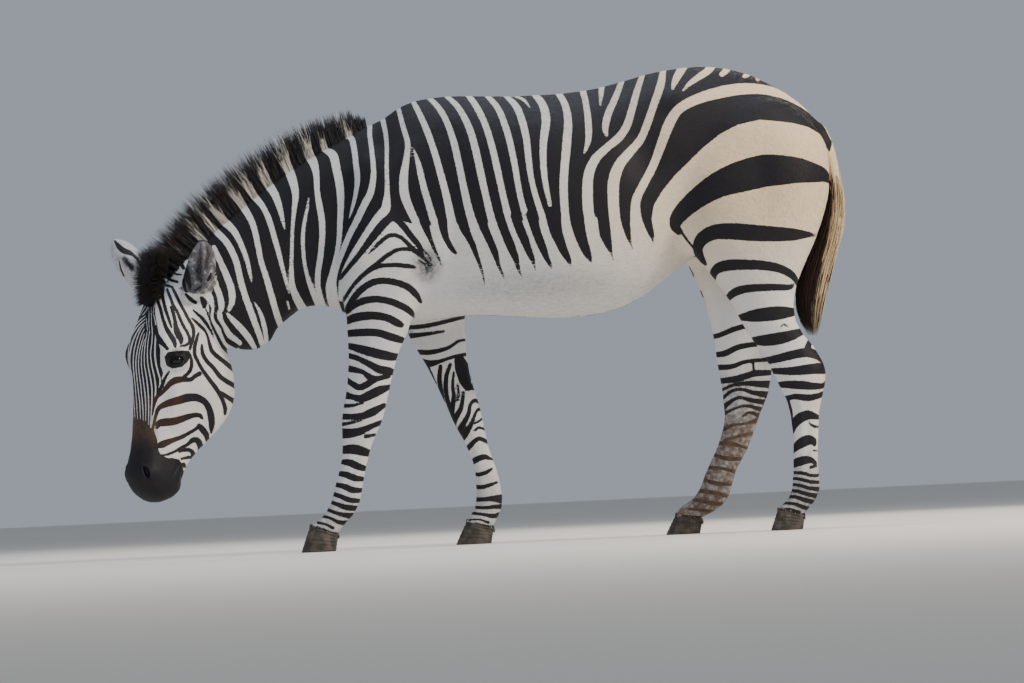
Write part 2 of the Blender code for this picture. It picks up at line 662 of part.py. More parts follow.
def make_hoof(row):
    """A hoof: a slanting wall from the coronet down to a flat sole."""
    bm = bmesh.new()
    levels = 4
    squareness = 0.85
    rings = []
    for level in range(levels + 1):
        share = level / levels
        flare = share**squareness
        toe = row.crown_toe + (row.toe - row.crown_toe) * flare
        heel = row.crown_heel + (row.heel - row.crown_heel) * share
        toe_z = row.crown_toe_z * (1.0 - share)
        heel_z = row.crown_heel_z * (1.0 - share)
        half_width = CROWN_HALF_WIDTH + (SOLE_HALF_WIDTH - CROWN_HALF_WIDTH) * share
        circle = bmesh.ops.create_circle(bm, cap_ends=False, segments=HOOF_SIDES, radius=1.0)
        for vert in circle["verts"]:
            across = power(vert.co.y, squareness)
            along = power(vert.co.x, squareness)
            place = (1.0 - along) / 2
            narrow = 1.0 - 0.16 * place
            x = toe + (heel - toe) * place
            z = toe_z + (heel_z - toe_z) * place
            vert.co = Vector((x, row.y + across * half_width * narrow, z))
        rings.append(list({edge for vert in circle["verts"] for edge in vert.link_edges}))
    add_loft(bm, rings)
    hoof = as_object(row.name, bm)
    clean(hoof)
    return hoof


def cut_for_hoof(body, row):
    """Ends the leg just above its hoof's coronet."""
    slope = math.atan2(row.crown_toe_z - row.crown_heel_z, row.crown_heel - row.crown_toe)
    middle_x = (row.crown_toe + row.crown_heel) / 2
    middle_z = (row.crown_toe_z + row.crown_heel_z) / 2
    middle = Vector((middle_x, row.y, middle_z))
    down = Vector((-math.sin(slope), 0.0, -math.cos(slope)))
    depth = 0.16
    centre = middle + down * (depth / 2 - GAP)
    block = make_block("block", centre, (0.24, 0.14, depth), slope)
    combine(body, block, "DIFFERENCE")
    bpy.data.objects.remove(block)


def make_ear(row):
    """A leaf-shaped ear: a sheet wrapped round its length into a cup, with an even wall."""
    root = face_point(*row.root)
    along = (row.tip - root).normalized()
    length = (row.tip - root).length
    out = (row.opening - along * row.opening.dot(along)).normalized()
    across = along.cross(out)
    bm = bmesh.new()
    columns, rows = 8, 7
    grid = bmesh.ops.create_grid(bm, x_segments=columns, y_segments=rows, size=1.0)
    for vert in grid["verts"]:
        place = vert.co.x
        up = (vert.co.y + 1.0) / 2
        leaf = math.sin(math.pi * min(1.0, 0.04 + 0.945 * up**1.1)) ** 0.62
        half_width = EAR_WIDTH / 2 * (0.22 * (1.0 - up) ** 1.5 + leaf * row.flare)
        wrap = math.radians(172.0 - 112.0 * up**0.75)
        angle = place * wrap
        radius = half_width / max(0.35, math.sin(min(wrap, math.pi / 2)))
        side = math.sin(angle) * radius
        depth = (1.0 - math.cos(angle)) * radius
        bend = 0.018 * math.sin(math.pi * up)
        vert.co = root + along * (up * length) + across * side + out * (depth - radius * 0.6 - bend)
    ear = as_object(row.name, bm)
    wall = ear.modifiers.new("wall", "SOLIDIFY")
    wall.thickness = EAR_WALL
    wall.offset = 0.0
    apply_modifiers(ear)
    return ear


def add_fin_ring(bm, base, up, height, half_width):
    """A section of standing hair, rooted under the skin."""
    sink = 0.020
    fullness = 2.6
    centre = base + up * (height - sink) / 2
    reach = (height + sink) / 2
    return add_ring(bm, centre, up, LEFT_TO_RIGHT, (reach, reach), half_width, (fullness, fullness))


def make_mane():
    """The standing mane, a fin along the crest of the neck."""
    bm = bmesh.new()
    rings = []
    for row in smooth_rows(MANE, 2):
        up = Vector((-math.sin(row.lean), 0.0, math.cos(row.lean)))
        base = Vector((row.x, row.y, row.z))
        rings.append(add_fin_ring(bm, base, up, row.height, row.half_width))
    add_loft(bm, rings)
    mane = as_object("mane", bm)
    fewer = mane.modifiers.new("thin out", "DECIMATE")
    fewer.ratio = MANE_SHARE
    apply_modifiers(mane)
    return mane


def make_forelock():
    """The dark tuft that falls forward between the ears onto the brow."""
    bm = bmesh.new()
    for place, reach in FORELOCK:
        add_ball(bm, face_point(*place), reach)
    tuft = as_object("forelock", bm)
    remesh = tuft.modifiers.new("one tuft", "REMESH")
    remesh.mode = "VOXEL"
    remesh.voxel_size = VOXEL
    smooth = tuft.modifiers.new("soften", "SMOOTH")
    smooth.factor = 0.5
    smooth.iterations = 3
    fewer = tuft.modifiers.new("thin out", "DECIMATE")
    fewer.ratio = FORELOCK_SHARE
    apply_modifiers(tuft)
    return tuft


def make_tail():
    """Dock and hair in one hanging outline."""
    bm = bmesh.new()
    rows = smooth_rows(TAIL, 2)
    rings = []
    for i, row in enumerate(rows):
        before = rows[max(i - 1, 0)]
        after = rows[min(i + 1, len(rows) - 1)]
        along = Vector((after.x - before.x, 0.0, after.z - before.z)).normalized()
        out = along.cross(LEFT_TO_RIGHT)
        centre = Vector((row.x, 0.0, row.z))
        reaches = (row.half_depth, row.half_depth)
        fulls = (row.full, row.full)
        rings.append(add_ring(bm, centre, out, LEFT_TO_RIGHT, reaches, row.half_width, fulls))
    add_loft(bm, rings)
    tail = as_object("tail_switch", bm)
    fewer = tail.modifiers.new("thin out", "DECIMATE")
    fewer.ratio = TAIL_SHARE
    apply_modifiers(tail)
    return tail


def make_eye(name, side):
    """An eyeball in its socket."""
    bm = bmesh.new()
    down, out, left = EYE_PLACE
    matrix = Matrix.Translation(face_point(down, out, left * side))
    bmesh.ops.create_uvsphere(bm, u_segments=14, v_segments=8, radius=EYE_RADIUS, matrix=matrix)
    return as_object(name, bm)


def trim(obj, cutter):
    """Cuts an object clear of a neighbour and tidies the cut."""
    combine(obj, cutter, "DIFFERENCE")
    clean(obj)
    keep_largest(obj)


def stand_on_origin(objects):
    """Moves the animal so that its box stands on the origin."""
    points = [vert.co for obj in objects for vert in obj.data.vertices]
    middle_x = (min(p.x for p in points) + max(p.x for p in points)) / 2
    middle_y = (min(p.y for p in points) + max(p.y for p in points)) / 2
    shift = Matrix.Translation((-middle_x, -middle_y, 0.0))
    for obj in objects:
        obj.data.transform(shift)


def dress(objects):
    """Gives every node its material and shading."""
    coat = make_material("short striped coat", (0.420, 0.380, 0.330), 0.80)
    hair = make_material("coarse dark hair", (0.035, 0.028, 0.026), 0.75)
    horn = make_material("grey horn", (0.070, 0.060, 0.050), 0.60)
    wet = make_material("wet eye", (0.010, 0.007, 0.006), 0.10)
    kinds = (("hoof", horn), ("eye", wet), ("mane", hair), ("forelock", hair), ("tail_switch", hair))
    for obj in objects:
        material = next((finish for start, finish in kinds if obj.name.startswith(start)), coat)
        obj.data.materials.clear()
        obj.data.materials.append(material)
        obj.data.shade_smooth()
        obj.data.set_sharp_from_angle(angle=math.radians(40.0))


def main():
    """Builds the animal, parts it and stands it on the origin."""
    clear_objects()
    body = make_body()
    thin_out(body)
    for row in HOOVES:
        cut_for_hoof(body, row)
    clean(body)
    skin_cutter = puffed("skin cutter", [body], GAP)
    hooves = [make_hoof(row) for row in HOOVES]

    ears = [make_ear(row) for row in EARS]
    for ear in ears:
        trim(ear, skin_cutter)
    ear_cutter = puffed("ear cutter", ears, GAP)
    mane = make_mane()
    forelock = make_forelock()
    for hair in (mane, forelock):
        trim(hair, skin_cutter)
        trim(hair, ear_cutter)
    mane_cutter = puffed("mane cutter", [mane], GAP)
    trim(forelock, mane_cutter)

    tail = make_tail()
    trim(tail, skin_cutter)
    dock = part_off(tail, "tail_dock", Vector((1.05, 0.0, TAIL_CUT + 0.25)), (0.5, 0.4, 0.5))
    clean(tail)
    keep_largest(tail)

    eyes = []
    for name, side in (("eye_left", 1.0), ("eye_right", -1.0)):
        eye = make_eye(name, side)
        socket = puffed("socket", [eye], GAP)
        combine(body, socket, "DIFFERENCE")
        bpy.data.objects.remove(socket)
        eyes.append(eye)
    clean(body)

    pieces = [
        part_at_line(body, "head", *HEAD_LINE, -0.49, 0.50),
        part_at_line(body, "neck", *NECK_LINE, -0.18, 0.80),
    ]
    for cut in LEG_CUTS:
        height = cut.top + 0.05
        centre = Vector((cut.x, cut.side * (LEG_BLOCK_WIDTH / 2 + 0.0005), cut.top - height / 2))
        pieces.append(part_off(body, cut.name, centre, (cut.length, LEG_BLOCK_WIDTH, height)))
    body.name = "trunk"
    clean(body)
    keep_largest(body)
    for cutter in (skin_cutter, ear_cutter, mane_cutter):
        bpy.data.objects.remove(cutter)
    nodes = [body, mane, forelock, dock, tail, *pieces, *ears, *eyes, *hooves]
    stand_on_origin(nodes)
    dress(nodes)


if __name__ == "__main__":
    main()
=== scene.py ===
"""Hartmann's mountain zebra, a life-size still model that stands with its head lowered.

The skin, the coat, the long hair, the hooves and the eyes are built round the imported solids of
the same animal. +X runs from head to tail, +Y to the animal's right and +Z up.
"""

import logging
import math
from dataclasses import dataclass, field
from enum import Enum
from typing import Any, Iterable, Mapping

import bmesh
import bpy
import numpy as np
from mathutils import Matrix, Vector
from mathutils.bvhtree import BVHTree


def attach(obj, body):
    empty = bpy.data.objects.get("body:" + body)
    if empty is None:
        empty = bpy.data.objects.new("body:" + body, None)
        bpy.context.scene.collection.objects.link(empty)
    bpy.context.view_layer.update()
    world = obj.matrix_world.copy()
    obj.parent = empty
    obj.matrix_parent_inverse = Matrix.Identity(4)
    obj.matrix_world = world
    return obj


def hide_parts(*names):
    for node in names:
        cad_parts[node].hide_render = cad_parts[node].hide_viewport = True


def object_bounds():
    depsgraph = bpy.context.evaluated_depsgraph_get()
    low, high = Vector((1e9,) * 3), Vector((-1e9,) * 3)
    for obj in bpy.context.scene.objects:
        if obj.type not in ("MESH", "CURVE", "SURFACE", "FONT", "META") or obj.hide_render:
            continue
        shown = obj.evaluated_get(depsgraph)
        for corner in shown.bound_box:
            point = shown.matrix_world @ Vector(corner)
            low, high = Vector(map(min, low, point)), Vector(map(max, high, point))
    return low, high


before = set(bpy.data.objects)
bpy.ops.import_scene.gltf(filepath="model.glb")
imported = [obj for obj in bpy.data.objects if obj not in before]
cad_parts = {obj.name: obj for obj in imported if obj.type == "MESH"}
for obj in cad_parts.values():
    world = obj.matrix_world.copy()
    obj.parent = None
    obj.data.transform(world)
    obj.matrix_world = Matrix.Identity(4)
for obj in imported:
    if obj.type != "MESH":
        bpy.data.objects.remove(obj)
CAD_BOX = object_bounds()
log = logging.getLogger("zebra")

Array = np.ndarray
Row = tuple[float, ...]
Corner = tuple[float, float]
Station = tuple[float, float, float]

# The maker's own origin, below the back of the shoulder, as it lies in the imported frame.
PLACE = Vector(CAD_BOX[0]) - Vector((-1.0112, -0.2629, 0.0))
EYE_RADIUS = 0.0205
UP = np.array((0.0, 0.0, 1.0))

# The head's own directions: it is turned to the left and leans forward a little.
HEAD_TURN = math.radians(35.0)
HEAD_LEAN = math.radians(7.0)
BROW = np.array((-0.927, -0.138, 0.600))
FACE_OUT = np.array((-math.cos(HEAD_TURN), -math.sin(HEAD_TURN), 0.0))
FACE_LEFT = np.array((math.sin(HEAD_TURN), -math.cos(HEAD_TURN), 0.0))
FACE_DOWN = FACE_OUT * math.sin(HEAD_LEAN) + np.array((0.0, 0.0, -math.cos(HEAD_LEAN)))
FACE_NORMAL = FACE_OUT * math.cos(HEAD_LEAN) + np.array((0.0, 0.0, math.sin(HEAD_LEAN)))
# Behind this line, given by its lower and upper ends, the head ends and the neck starts.
HEAD_EDGE: tuple[Corner, Corner] = ((-0.672, 0.590), (-0.792, 0.870))


def face_point(down: float, out: float, left: float) -> Array:
    """Gives the point at distances down, out from and left of the brow, in metres."""
    return BROW + FACE_DOWN * down + FACE_NORMAL * out + FACE_LEFT * left


def unit(rows: Array) -> Array:
    """Gives directions, one or a row each, the length of 1."""
    size = np.linalg.norm(rows) if rows.ndim == 1 else np.linalg.norm(rows, axis=-1)[..., None]
    return rows / np.maximum(size, 1e-6)


def ease(value: Array, low: float, high: float) -> Array:
    """Rises smoothly from 0 at low to 1 at high.

    Args:
        value: Numbers of any shape.
        low: Where the rise starts.
        high: Where it ends; it may be less than low.

    Returns:
        The eased numbers.
    """
    share = np.clip((value - low) / (high - low), 0.0, 1.0)
    return share * share * (3.0 - 2.0 * share)


def linear(hex_colour: str) -> tuple[float, float, float, float]:
    """Turns an sRGB hex colour to linear light.

    Args:
        hex_colour: Six hex digits after a hash.

    Returns:
        Red, green, blue and an alpha of 1.
    """
    parts = [int(hex_colour[i : i + 2], 16) / 255.0 for i in (1, 3, 5)]
    light = [p / 12.92 if p <= 0.04045 else ((p + 0.055) / 1.055) ** 2.4 for p in parts]
    return (light[0], light[1], light[2], 1.0)


def new_material(name: str, sockets: Mapping[str, Any]) -> tuple[Any, Any, Any]:
    """Starts a material.

    Args:
        name: The real material's name.
        sockets: The shader's own values, by socket.

    Returns:
        The material, its node tree and its shader.
    """
    material = bpy.data.materials.new(name)
    material.use_nodes = True
    shader = material.node_tree.nodes["Principled BSDF"]
    for socket, value in sockets.items():
        shader.inputs[socket].default_value = value
    return material, material.node_tree, shader


def add_node(tree: Any, kind: str, inputs: Mapping[Any, Any] | None = None, **settings: Any) -> Any:
    """Adds one shader node.

    Args:
        tree: The material's node tree.
        kind: The node's type.
        inputs: For each socket, a value, a node, or a node and the output that feeds it.
        **settings: The node's own properties.

    Returns:
        The new node.
    """
    node = tree.nodes.new("ShaderNode" + kind)
    for name, value in settings.items():
        setattr(node, name, value)
    for name, value in (inputs or {}).items():
        if isinstance(value, bpy.types.Node):
            value = (value, 0)
        if isinstance(value, tuple) and isinstance(value[0], bpy.types.Node):
            tree.links.new(value[0].outputs[value[1]], node.inputs[name])
        else:
            node.inputs[name].default_value = value
    return node


def fetch(rows: Any, name: str, size: int = 1, kind: type = np.float32) -> Array:
    """Reads one property of all the points, edges, corners or faces of a mesh.

    Args:
        rows: The points, edges, corners or faces.
        name: The property.
        size: How many numbers each has.
        kind: The kind of number.

    Returns:
        The numbers, a row each where there are several.
    """
    made = np.empty(len(rows) * size, dtype=kind)
    rows.foreach_get(name, made)
    return made.reshape(-1, size) if size > 1 else made


def surface(mesh: bpy.types.Mesh) -> BVHTree:
    """Makes a mesh's surface searchable.

    Args:
        mesh: The mesh.

    Returns:
        The search tree of its faces.
    """
    bm = bmesh.new()
    bm.from_mesh(mesh)
    tree = BVHTree.FromBMesh(bm)
    bm.free()
    return tree


def link(name: str, data: Any) -> bpy.types.Object:
    """Puts a mesh, a light or a camera in the scene.

    Args:
        name: The object's name.
        data: What it shows.

    Returns:
        The object.
    """
    made = bpy.data.objects.new(name, data)
    bpy.context.collection.objects.link(made)
    return made


def dress(mesh: bpy.types.Mesh, material: bpy.types.Material, marks: Mapping[str, Iterable[float]]) -> None:
    """Gives a mesh its finish.

    Args:
        mesh: The mesh.
        material: Its only material.
        marks: A number for each point, by attribute name.
    """
    mesh.materials.clear()
    mesh.materials.append(material)
    for name, values in marks.items():
        layer = mesh.attributes.new(name, "FLOAT", "POINT")
        layer.data.foreach_set("value", np.asarray(values, dtype=np.float32))


def make_piece(
    name: str,
    points: Array,
    faces: Array,
    material: bpy.types.Material,
    marks: Mapping[str, Array],
    spots: Array,
    shading: Array | None = None,
) -> bpy.types.Object:
    """Makes a piece of tufts or locks, which are copies of one small shape in many places.

    Args:
        name: The piece's name.
        points: Points in the maker's own frame.
        faces: Three point numbers for each triangle.
        material: Its finish.
        marks: A number for each point, by attribute name.
        spots: A place on the coat's unwrap for each point.
        shading: The direction that each point is lit as if it faced.

    Returns:
        The linked object.
    """
    mesh = bpy.data.meshes.new(name)
    mesh.vertices.add(len(points))
    mesh.vertices.foreach_set("co", (points + np.array(PLACE)).astype(np.float32).ravel())
    mesh.loops.add(faces.size)
    mesh.loops.foreach_set("vertex_index", faces.astype(np.int32).ravel())
    mesh.polygons.add(len(faces))
    mesh.polygons.foreach_set("loop_start", np.arange(0, faces.size, 3, dtype=np.int32))
    mesh.update(calc_edges=True)
    mesh.polygons.foreach_set("use_smooth", np.ones(len(faces), dtype=bool))
    dress(mesh, material, marks)
    chart = mesh.uv_layers.new(name="OFBake")
    chart.data.foreach_set("uv", spots[faces.ravel()].astype(np.float32).ravel())
    if shading is not None:
        mesh.normals_split_custom_set_from_vertices(shading.astype(np.float32))
    return link(name, mesh)


def place_piece(piece: bpy.types.Object, nodes: Iterable[str] = ()) -> None:
    """Fixes a finished piece to the model.

    Args:
        piece: The piece.
        nodes: The solids that it stands for.
    """
    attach(piece, "root")
    if nodes:
        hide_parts(*nodes)
    log.info("%s: %d faces", piece.name, len(piece.data.polygons))


@dataclass(frozen=True)
class Ear:
    """Where an ear stands.

    Attributes:
        name: Its solid.
        sign: 1 on the left, -1 on the right, as the ears' marking has it.
        root: The middle of its root.
        tip: Its tip.
        opening: The way that it opens.
        swell: How much wider it is made near its tip.
    """

    name: str
    sign: float
    root: Array
    tip: Array
    opening: Array
    swell: float

    @property
    def length(self) -> float:
        """Its length."""
        return float(np.linalg.norm(self.tip - self.root))

    @property
    def run(self) -> Array:
        """Its direction, from root to tip."""
        return (self.tip - self.root) / self.length

    @property
    def out(self) -> Array:
        """The way that it opens, square to its run."""
        return unit(self.opening - self.run * (self.opening @ self.run))


EARS = (
    Ear(
        "ear_left", 1.0, face_point(-0.146, -0.122, 0.084), np.array((-0.741, -0.172, 0.899)),
        np.array((-0.75, 0.62, 0.10)), 0.22,
    ),
    Ear(
        "ear_right", -1.0, face_point(-0.142, -0.080, -0.050), np.array((-1.003, 0.035, 0.918)),
        np.array((-0.10, 0.95, -0.20)), 0.12,
    ),
)


# Pale stripes of neck and barrel on their black ground. Each point is its distance back from the
# shoulder line, its height, seen from the side, and the stripe's width there, in millimetres.
NECK_PALE = (
    (-709, 806, 3, -709, 790, 9, -708, 776, 14, -705, 760, 17, -699, 740, 19, -695, 720, 18, -694, 704, 15,
     -698, 694, 8, -700, 685, 14, -698, 670, 13, -690, 655, 12, -684, 642, 14, -676, 628, 15,
     -664, 616, 16, -650, 604, 14),
    (-812, 1002, 10, -792, 978, 14, -774, 954, 19, -758, 932, 23, -746, 913, 25, -742, 902, 20),
    (-842, 994, 6, -826, 970, 8, -810, 946, 10, -794, 922, 13, -782, 900, 15, -773, 883, 13),
    (-850, 950, 5, -838, 928, 9, -824, 900, 13, -808, 872, 18, -794, 850, 20),
    (-866, 906, 4, -854, 884, 8, -842, 862, 14),
    (-710, 880, 12, -696, 845, 16, -680, 805, 18, -665, 760, 19, -663, 725, 17, -673, 698, 10),
    (-678, 686, 8, -664, 668, 15, -646, 648, 18, -625, 620, 18, -610, 590, 13),
    (-810, 1032, 16, -792, 1016, 15, -772, 999, 15, -752, 979, 16, -734, 959, 16, -717, 941, 17,
     -698, 920, 18, -678, 898, 18, -663, 874, 18, -647, 833, 17, -639, 790, 17, -628, 742, 17,
     -612, 689, 18, -596, 635, 16, -585, 590, 14),
    (-766, 1054, 18, -734, 1014, 20, -706, 980, 22, -676, 950, 22, -652, 924, 19, -633, 886, 15,
     -617, 838, 13, -609, 795, 9, -606, 774, 3),
    (-685, 1095, 26, -650, 1035, 24, -617, 982, 20, -596, 939, 17, -585, 886, 16, -577, 833, 15,
     -564, 785, 16, -553, 737, 17, -537, 667, 17, -530, 640, 16),
    (-600, 715, 3, -586, 685, 10, -578, 650, 13, -575, 620, 12, -575, 590, 10),
    (-625, 1095, 26, -599, 1035, 22, -569, 993, 16, -551, 955, 16, -537, 902, 15, -526, 855, 14,
     -516, 806, 11, -507, 765, 9, -503, 740, 4),
    (-508, 715, 6, -505, 695, 5),
    (-575, 1125, 28, -553, 1062, 26, -532, 1025, 22, -519, 987, 17, -511, 950, 11, -506, 921, 4),
    (-510, 1160, 28, -495, 1110, 26, -479, 1062, 25, -471, 1019, 19, -477, 970, 13, -483, 923, 10,
     -487, 870, 10, -491, 815, 11, -492, 763, 16, -482, 725, 22, -466, 690, 24),
    (-434, 1005, 3, -439, 975, 8, -449, 934, 10, -455, 891, 11, -455, 838, 10, -449, 790, 11,
     -437, 745, 15, -424, 705, 16),
    (-466, 1185, 24, -441, 1142, 26, -420, 1115, 26, -410, 1075, 18, -409, 1030, 15, -405, 990, 17,
     -399, 945, 18, -399, 897, 17, -407, 838, 16, -417, 790, 16, -419, 750, 15, -410, 700, 16),
    (-388, 1147, 12, -361, 1128, 24, -351, 1083, 23, -343, 1030, 22, -343, 977, 18, -347, 930, 16,
     -351, 886, 14, -361, 838, 13, -377, 790, 13, -389, 755, 14, -389, 720, 15, -380, 685, 16),
    (-337, 1182, 8, -308, 1176, 16, -299, 1140, 16, -295, 1097, 16, -292, 1051, 16, -298, 1009, 12,
     -310, 968, 9, -320, 940, 2),
    (-278, 1212, 8, -255, 1216, 14, -253, 1180, 13, -249, 1137, 13, -245, 1090, 14, -246, 1050, 16,
     -256, 1008, 19, -273, 978, 20, -299, 930, 19, -324, 886, 17, -345, 840, 16, -363, 800, 15,
     -374, 760, 16, -370, 700, 18, -358, 665, 18),
    (-224, 1256, 16, -212, 1210, 14, -205, 1153, 12, -207, 1080, 11, -208, 1015, 13, -211, 980, 22,
     -217, 956, 26, -238, 936, 22, -270, 895, 18, -306, 844, 16, -333, 800, 16, -350, 760, 16,
     -356, 715, 12),
    (-173, 1275, 12, -156, 1195, 14, -145, 1147, 15, -150, 1100, 17, -160, 1045, 24, -159, 995, 25,
     -142, 945, 22, -122, 900, 20, -98, 855, 22, -75, 810, 28),
)

BARREL_PALE = (
    (-128, 1128, 3, -117, 1085, 14, -106, 1025, 18, -92, 965, 19, -75, 905, 21, -52, 865, 26,
     -34, 835, 30),
    (-132, 1286, 12, -109, 1233, 16, -89, 1180, 18, -71, 1120, 18, -55, 1051, 19, -42, 990, 20,
     -32, 930, 23, -23, 880, 30, -2, 840, 42),
    (-85, 1286, 12, -52, 1245, 16, -29, 1195, 17, -13, 1137, 19, -1, 1070, 19, 10, 1000, 20, 22, 935, 22,
     39, 875, 27, 60, 825, 36, 76, 785, 50),
    (-32, 1286, 13, 2, 1245, 16, 30, 1185, 19, 46, 1120, 20, 58, 1050, 20, 70, 980, 19, 83, 915, 21,
     101, 860, 27, 123, 810, 38, 136, 775, 54),
    (32, 1284, 16, 57, 1238, 18, 78, 1185, 18, 93, 1125, 18, 105, 1060, 19, 116, 995, 18, 130, 920, 20,
     149, 860, 26, 172, 810, 37, 184, 775, 52),
    (86, 1278, 14, 115, 1235, 17, 134, 1180, 18, 146, 1125, 18, 156, 1060, 17, 165, 985, 16, 180, 915, 18,
     198, 860, 24, 222, 810, 35, 236, 780, 50),
    (138, 1276, 12, 167, 1238, 19, 183, 1190, 20, 192, 1135, 19, 196, 1065, 17, 203, 1005, 15,
     220, 935, 17, 240, 870, 22, 264, 815, 34, 280, 785, 50),
    (160, 1276, 5, 189, 1258, 9, 206, 1232, 3),
    (220, 1278, 18, 243, 1238, 22, 250, 1190, 24, 240, 1130, 21, 236, 1070, 18, 239, 1010, 16,
     249, 945, 10, 253, 910, 3),
    (288, 1280, 18, 306, 1235, 19, 312, 1185, 22, 305, 1120, 24, 296, 1055, 23, 290, 995, 23, 290, 925, 22,
     298, 865, 26, 319, 805, 40, 334, 775, 60),
    (358, 1290, 18, 366, 1230, 17, 369, 1170, 19, 366, 1125, 16, 354, 1090, 7),
    (416, 1300, 18, 410, 1260, 13, 406, 1226, 4),
    (474, 1304, 14, 449, 1245, 18, 426, 1198, 20, 416, 1160, 18, 418, 1136, 8),
    (532, 1316, 14, 511, 1260, 18, 493, 1205, 20, 476, 1160, 22, 452, 1128, 23, 414, 1098, 22,
     382, 1068, 25, 362, 1025, 28, 356, 970, 30, 357, 910, 30, 364, 860, 34, 378, 815, 44, 388, 785, 60),
    (592, 1326, 16, 579, 1275, 22, 557, 1220, 21, 535, 1165, 21, 513, 1120, 22, 481, 1085, 25,
     450, 1050, 29, 432, 1005, 32, 428, 950, 31, 430, 895, 31, 439, 840, 42, 449, 800, 60),
    (1066, 1105, 8, 1056, 1135, 13, 1039, 1170, 18, 1000, 1203, 24, 945, 1233, 27, 880, 1253, 30,
     810, 1256, 34, 740, 1246, 34, 675, 1228, 29, 626, 1202, 27, 596, 1160, 29, 572, 1105, 26,
     546, 1045, 23, 516, 993, 23, 493, 950, 25, 489, 905, 30, 496, 855, 46, 506, 820, 60),
    # The short pale notches of the croup, between the bars that cross the spine.
    (612, 1263, 6, 623, 1290, 19, 638, 1316, 23, 656, 1345, 26),
    (642, 1257, 4, 663, 1278, 13, 692, 1298, 19, 718, 1316, 22, 738, 1345, 24),
    (756, 1302, 14, 772, 1318, 19, 782, 1345, 22),
    (820, 1294, 10, 836, 1309, 19, 846, 1340, 22),
    (858, 1286, 10, 870, 1298, 16, 882, 1325, 20),
    (904, 1269, 7, 914, 1282, 10, 922, 1300, 10),
    (942, 1251, 5, 954, 1264, 8),
    (982, 1230, 4, 994, 1242, 6),
)

# The edge of the black ground: withers and croup are far above it, belly, haunch and head below it.
GROUND = (
    -640, 570, -660, 600, -688, 645, -706, 700, -718, 750, -732, 800, -746, 830, -786, 850, -794, 870,
    -920, 870, -990, 950, -960, 1500, 1200, 1500, 1200, 1120, 1070, 1110, 1056, 1070, 1046, 1086,
    1025, 1116, 990, 1136, 945, 1148, 855, 1161, 790, 1149, 740, 1126, 690, 1090, 650, 1054, 605, 1014,
    566, 970, 542, 932, 534, 895, 540, 850, 536, 822, 515, 855, 486, 836, 474, 804, 445, 820, 420, 782,
    388, 815, 380, 905, -120, 905, -194, 932, -258, 870, -349, 766, -348, 680, -340, 668, -365, 640,
    -450, 660, -520, 600, -580, 560,
)

# The tips of the barrel's black bands, which fade out on the belly.
BELLY_BLACK = (
    (-108, 920, 27, -101, 894, 20, -93, 870, 14, -81, 835, 10, -69, 805, 7, -64, 790, 3),
    (-56, 920, 28, -53, 890, 23, -47, 866, 18, -37, 844, 16, -29, 832, 14, -22, 824, 8),
    (-1, 920, 27.5, 5, 895, 28, 15, 870, 21, 26, 845, 18, 34, 820, 14, 42, 795, 11, 49, 770, 8,
     55, 735, 3),
    (54, 920, 26.5, 60, 895, 26, 69, 870, 23, 79, 845, 22, 88, 820, 20, 94, 795, 13, 100, 775, 10,
     108, 755, 6, 112, 746, 2),
    (106, 920, 27.5, 113, 895, 27, 121, 870, 26, 130, 845, 26, 139, 820, 23, 146, 800, 18, 150, 780, 12,
     154, 765, 8, 163, 745, 2),
    (150, 920, 27, 157, 895, 27, 166, 870, 27, 175, 845, 25, 183, 820, 20, 191, 800, 16, 197, 780, 8,
     199, 765, 2),
    (196, 920, 32, 202, 895, 29, 208, 870, 26, 216, 845, 25, 225, 820, 22, 232, 800, 17, 241, 780, 11,
     246, 768, 3),
    (256, 920, 44, 259, 895, 40, 263, 870, 35, 271, 845, 30, 280, 820, 25, 289, 800, 20, 296, 785, 13,
     300, 772, 4),
    (322, 920, 40, 324, 895, 40, 328, 870, 36, 334, 845, 32, 342, 820, 27, 350, 800, 20, 358, 780, 4),
)

# The first black band of the throat, which the head and the neck share.
THROAT_BLACK = (
    (-718, 794, 8, -718.5, 760, 11, -711, 736, 11, -709, 714, 12, -711, 695, 10, -713, 679, 9,
     -707, 664, 9, -698, 651, 8, -693, 634, 8, -687, 619, 10, -678, 608, 15, -660, 596, 14),
    (-739, 704, 2.5, -735, 693, 4, -731, 680, 4, -729, 670, 4),
)

# The ears, seen from the side: black marks, and patches of painted shade.
EAR_LEFT_BLACK = (
    (-802, 826, 6, -800, 802, 12, -796, 780, 10, -792, 760, 7, -785, 742, 9, -775, 729, 10, -764, 721, 7),
    (-748, 734, 10, -743, 722, 17, -743, 710, 11),
    (-716, 802, 4, -721, 790, 9, -727, 780, 5),
    (-764, 880, 4, -754, 890, 5, -740, 895, 5, -726, 894, 4),
)
EAR_LEFT_SHADE = (
    (-742, 884, 8, -742, 860, 15, -744, 840, 18, -747, 820, 19, -750, 804, 22, -747, 786, 16,
     -742, 774, 8),
    (-786, 826, 8, -784, 806, 18, -782, 788, 18, -778, 772, 12, -779, 760, 6),
    (-724, 876, 12, -720, 856, 14, -726, 836, 14, -729, 816, 14),
    (-766, 754, 6, -750, 762, 8, -738, 774, 6),
)
EAR_RIGHT_BLACK = (
    (-998, 915, 6, -986, 899, 14, -973, 886, 17, -958, 879, 15, -946, 873, 9, -933, 859, 7, -924, 844, 6),
    (-985, 856, 2, -982, 836, 4, -974, 812, 4),
)
EAR_RIGHT_SHADE = (
    (-970, 862, 6, -958, 846, 10, -948, 832, 12),
)

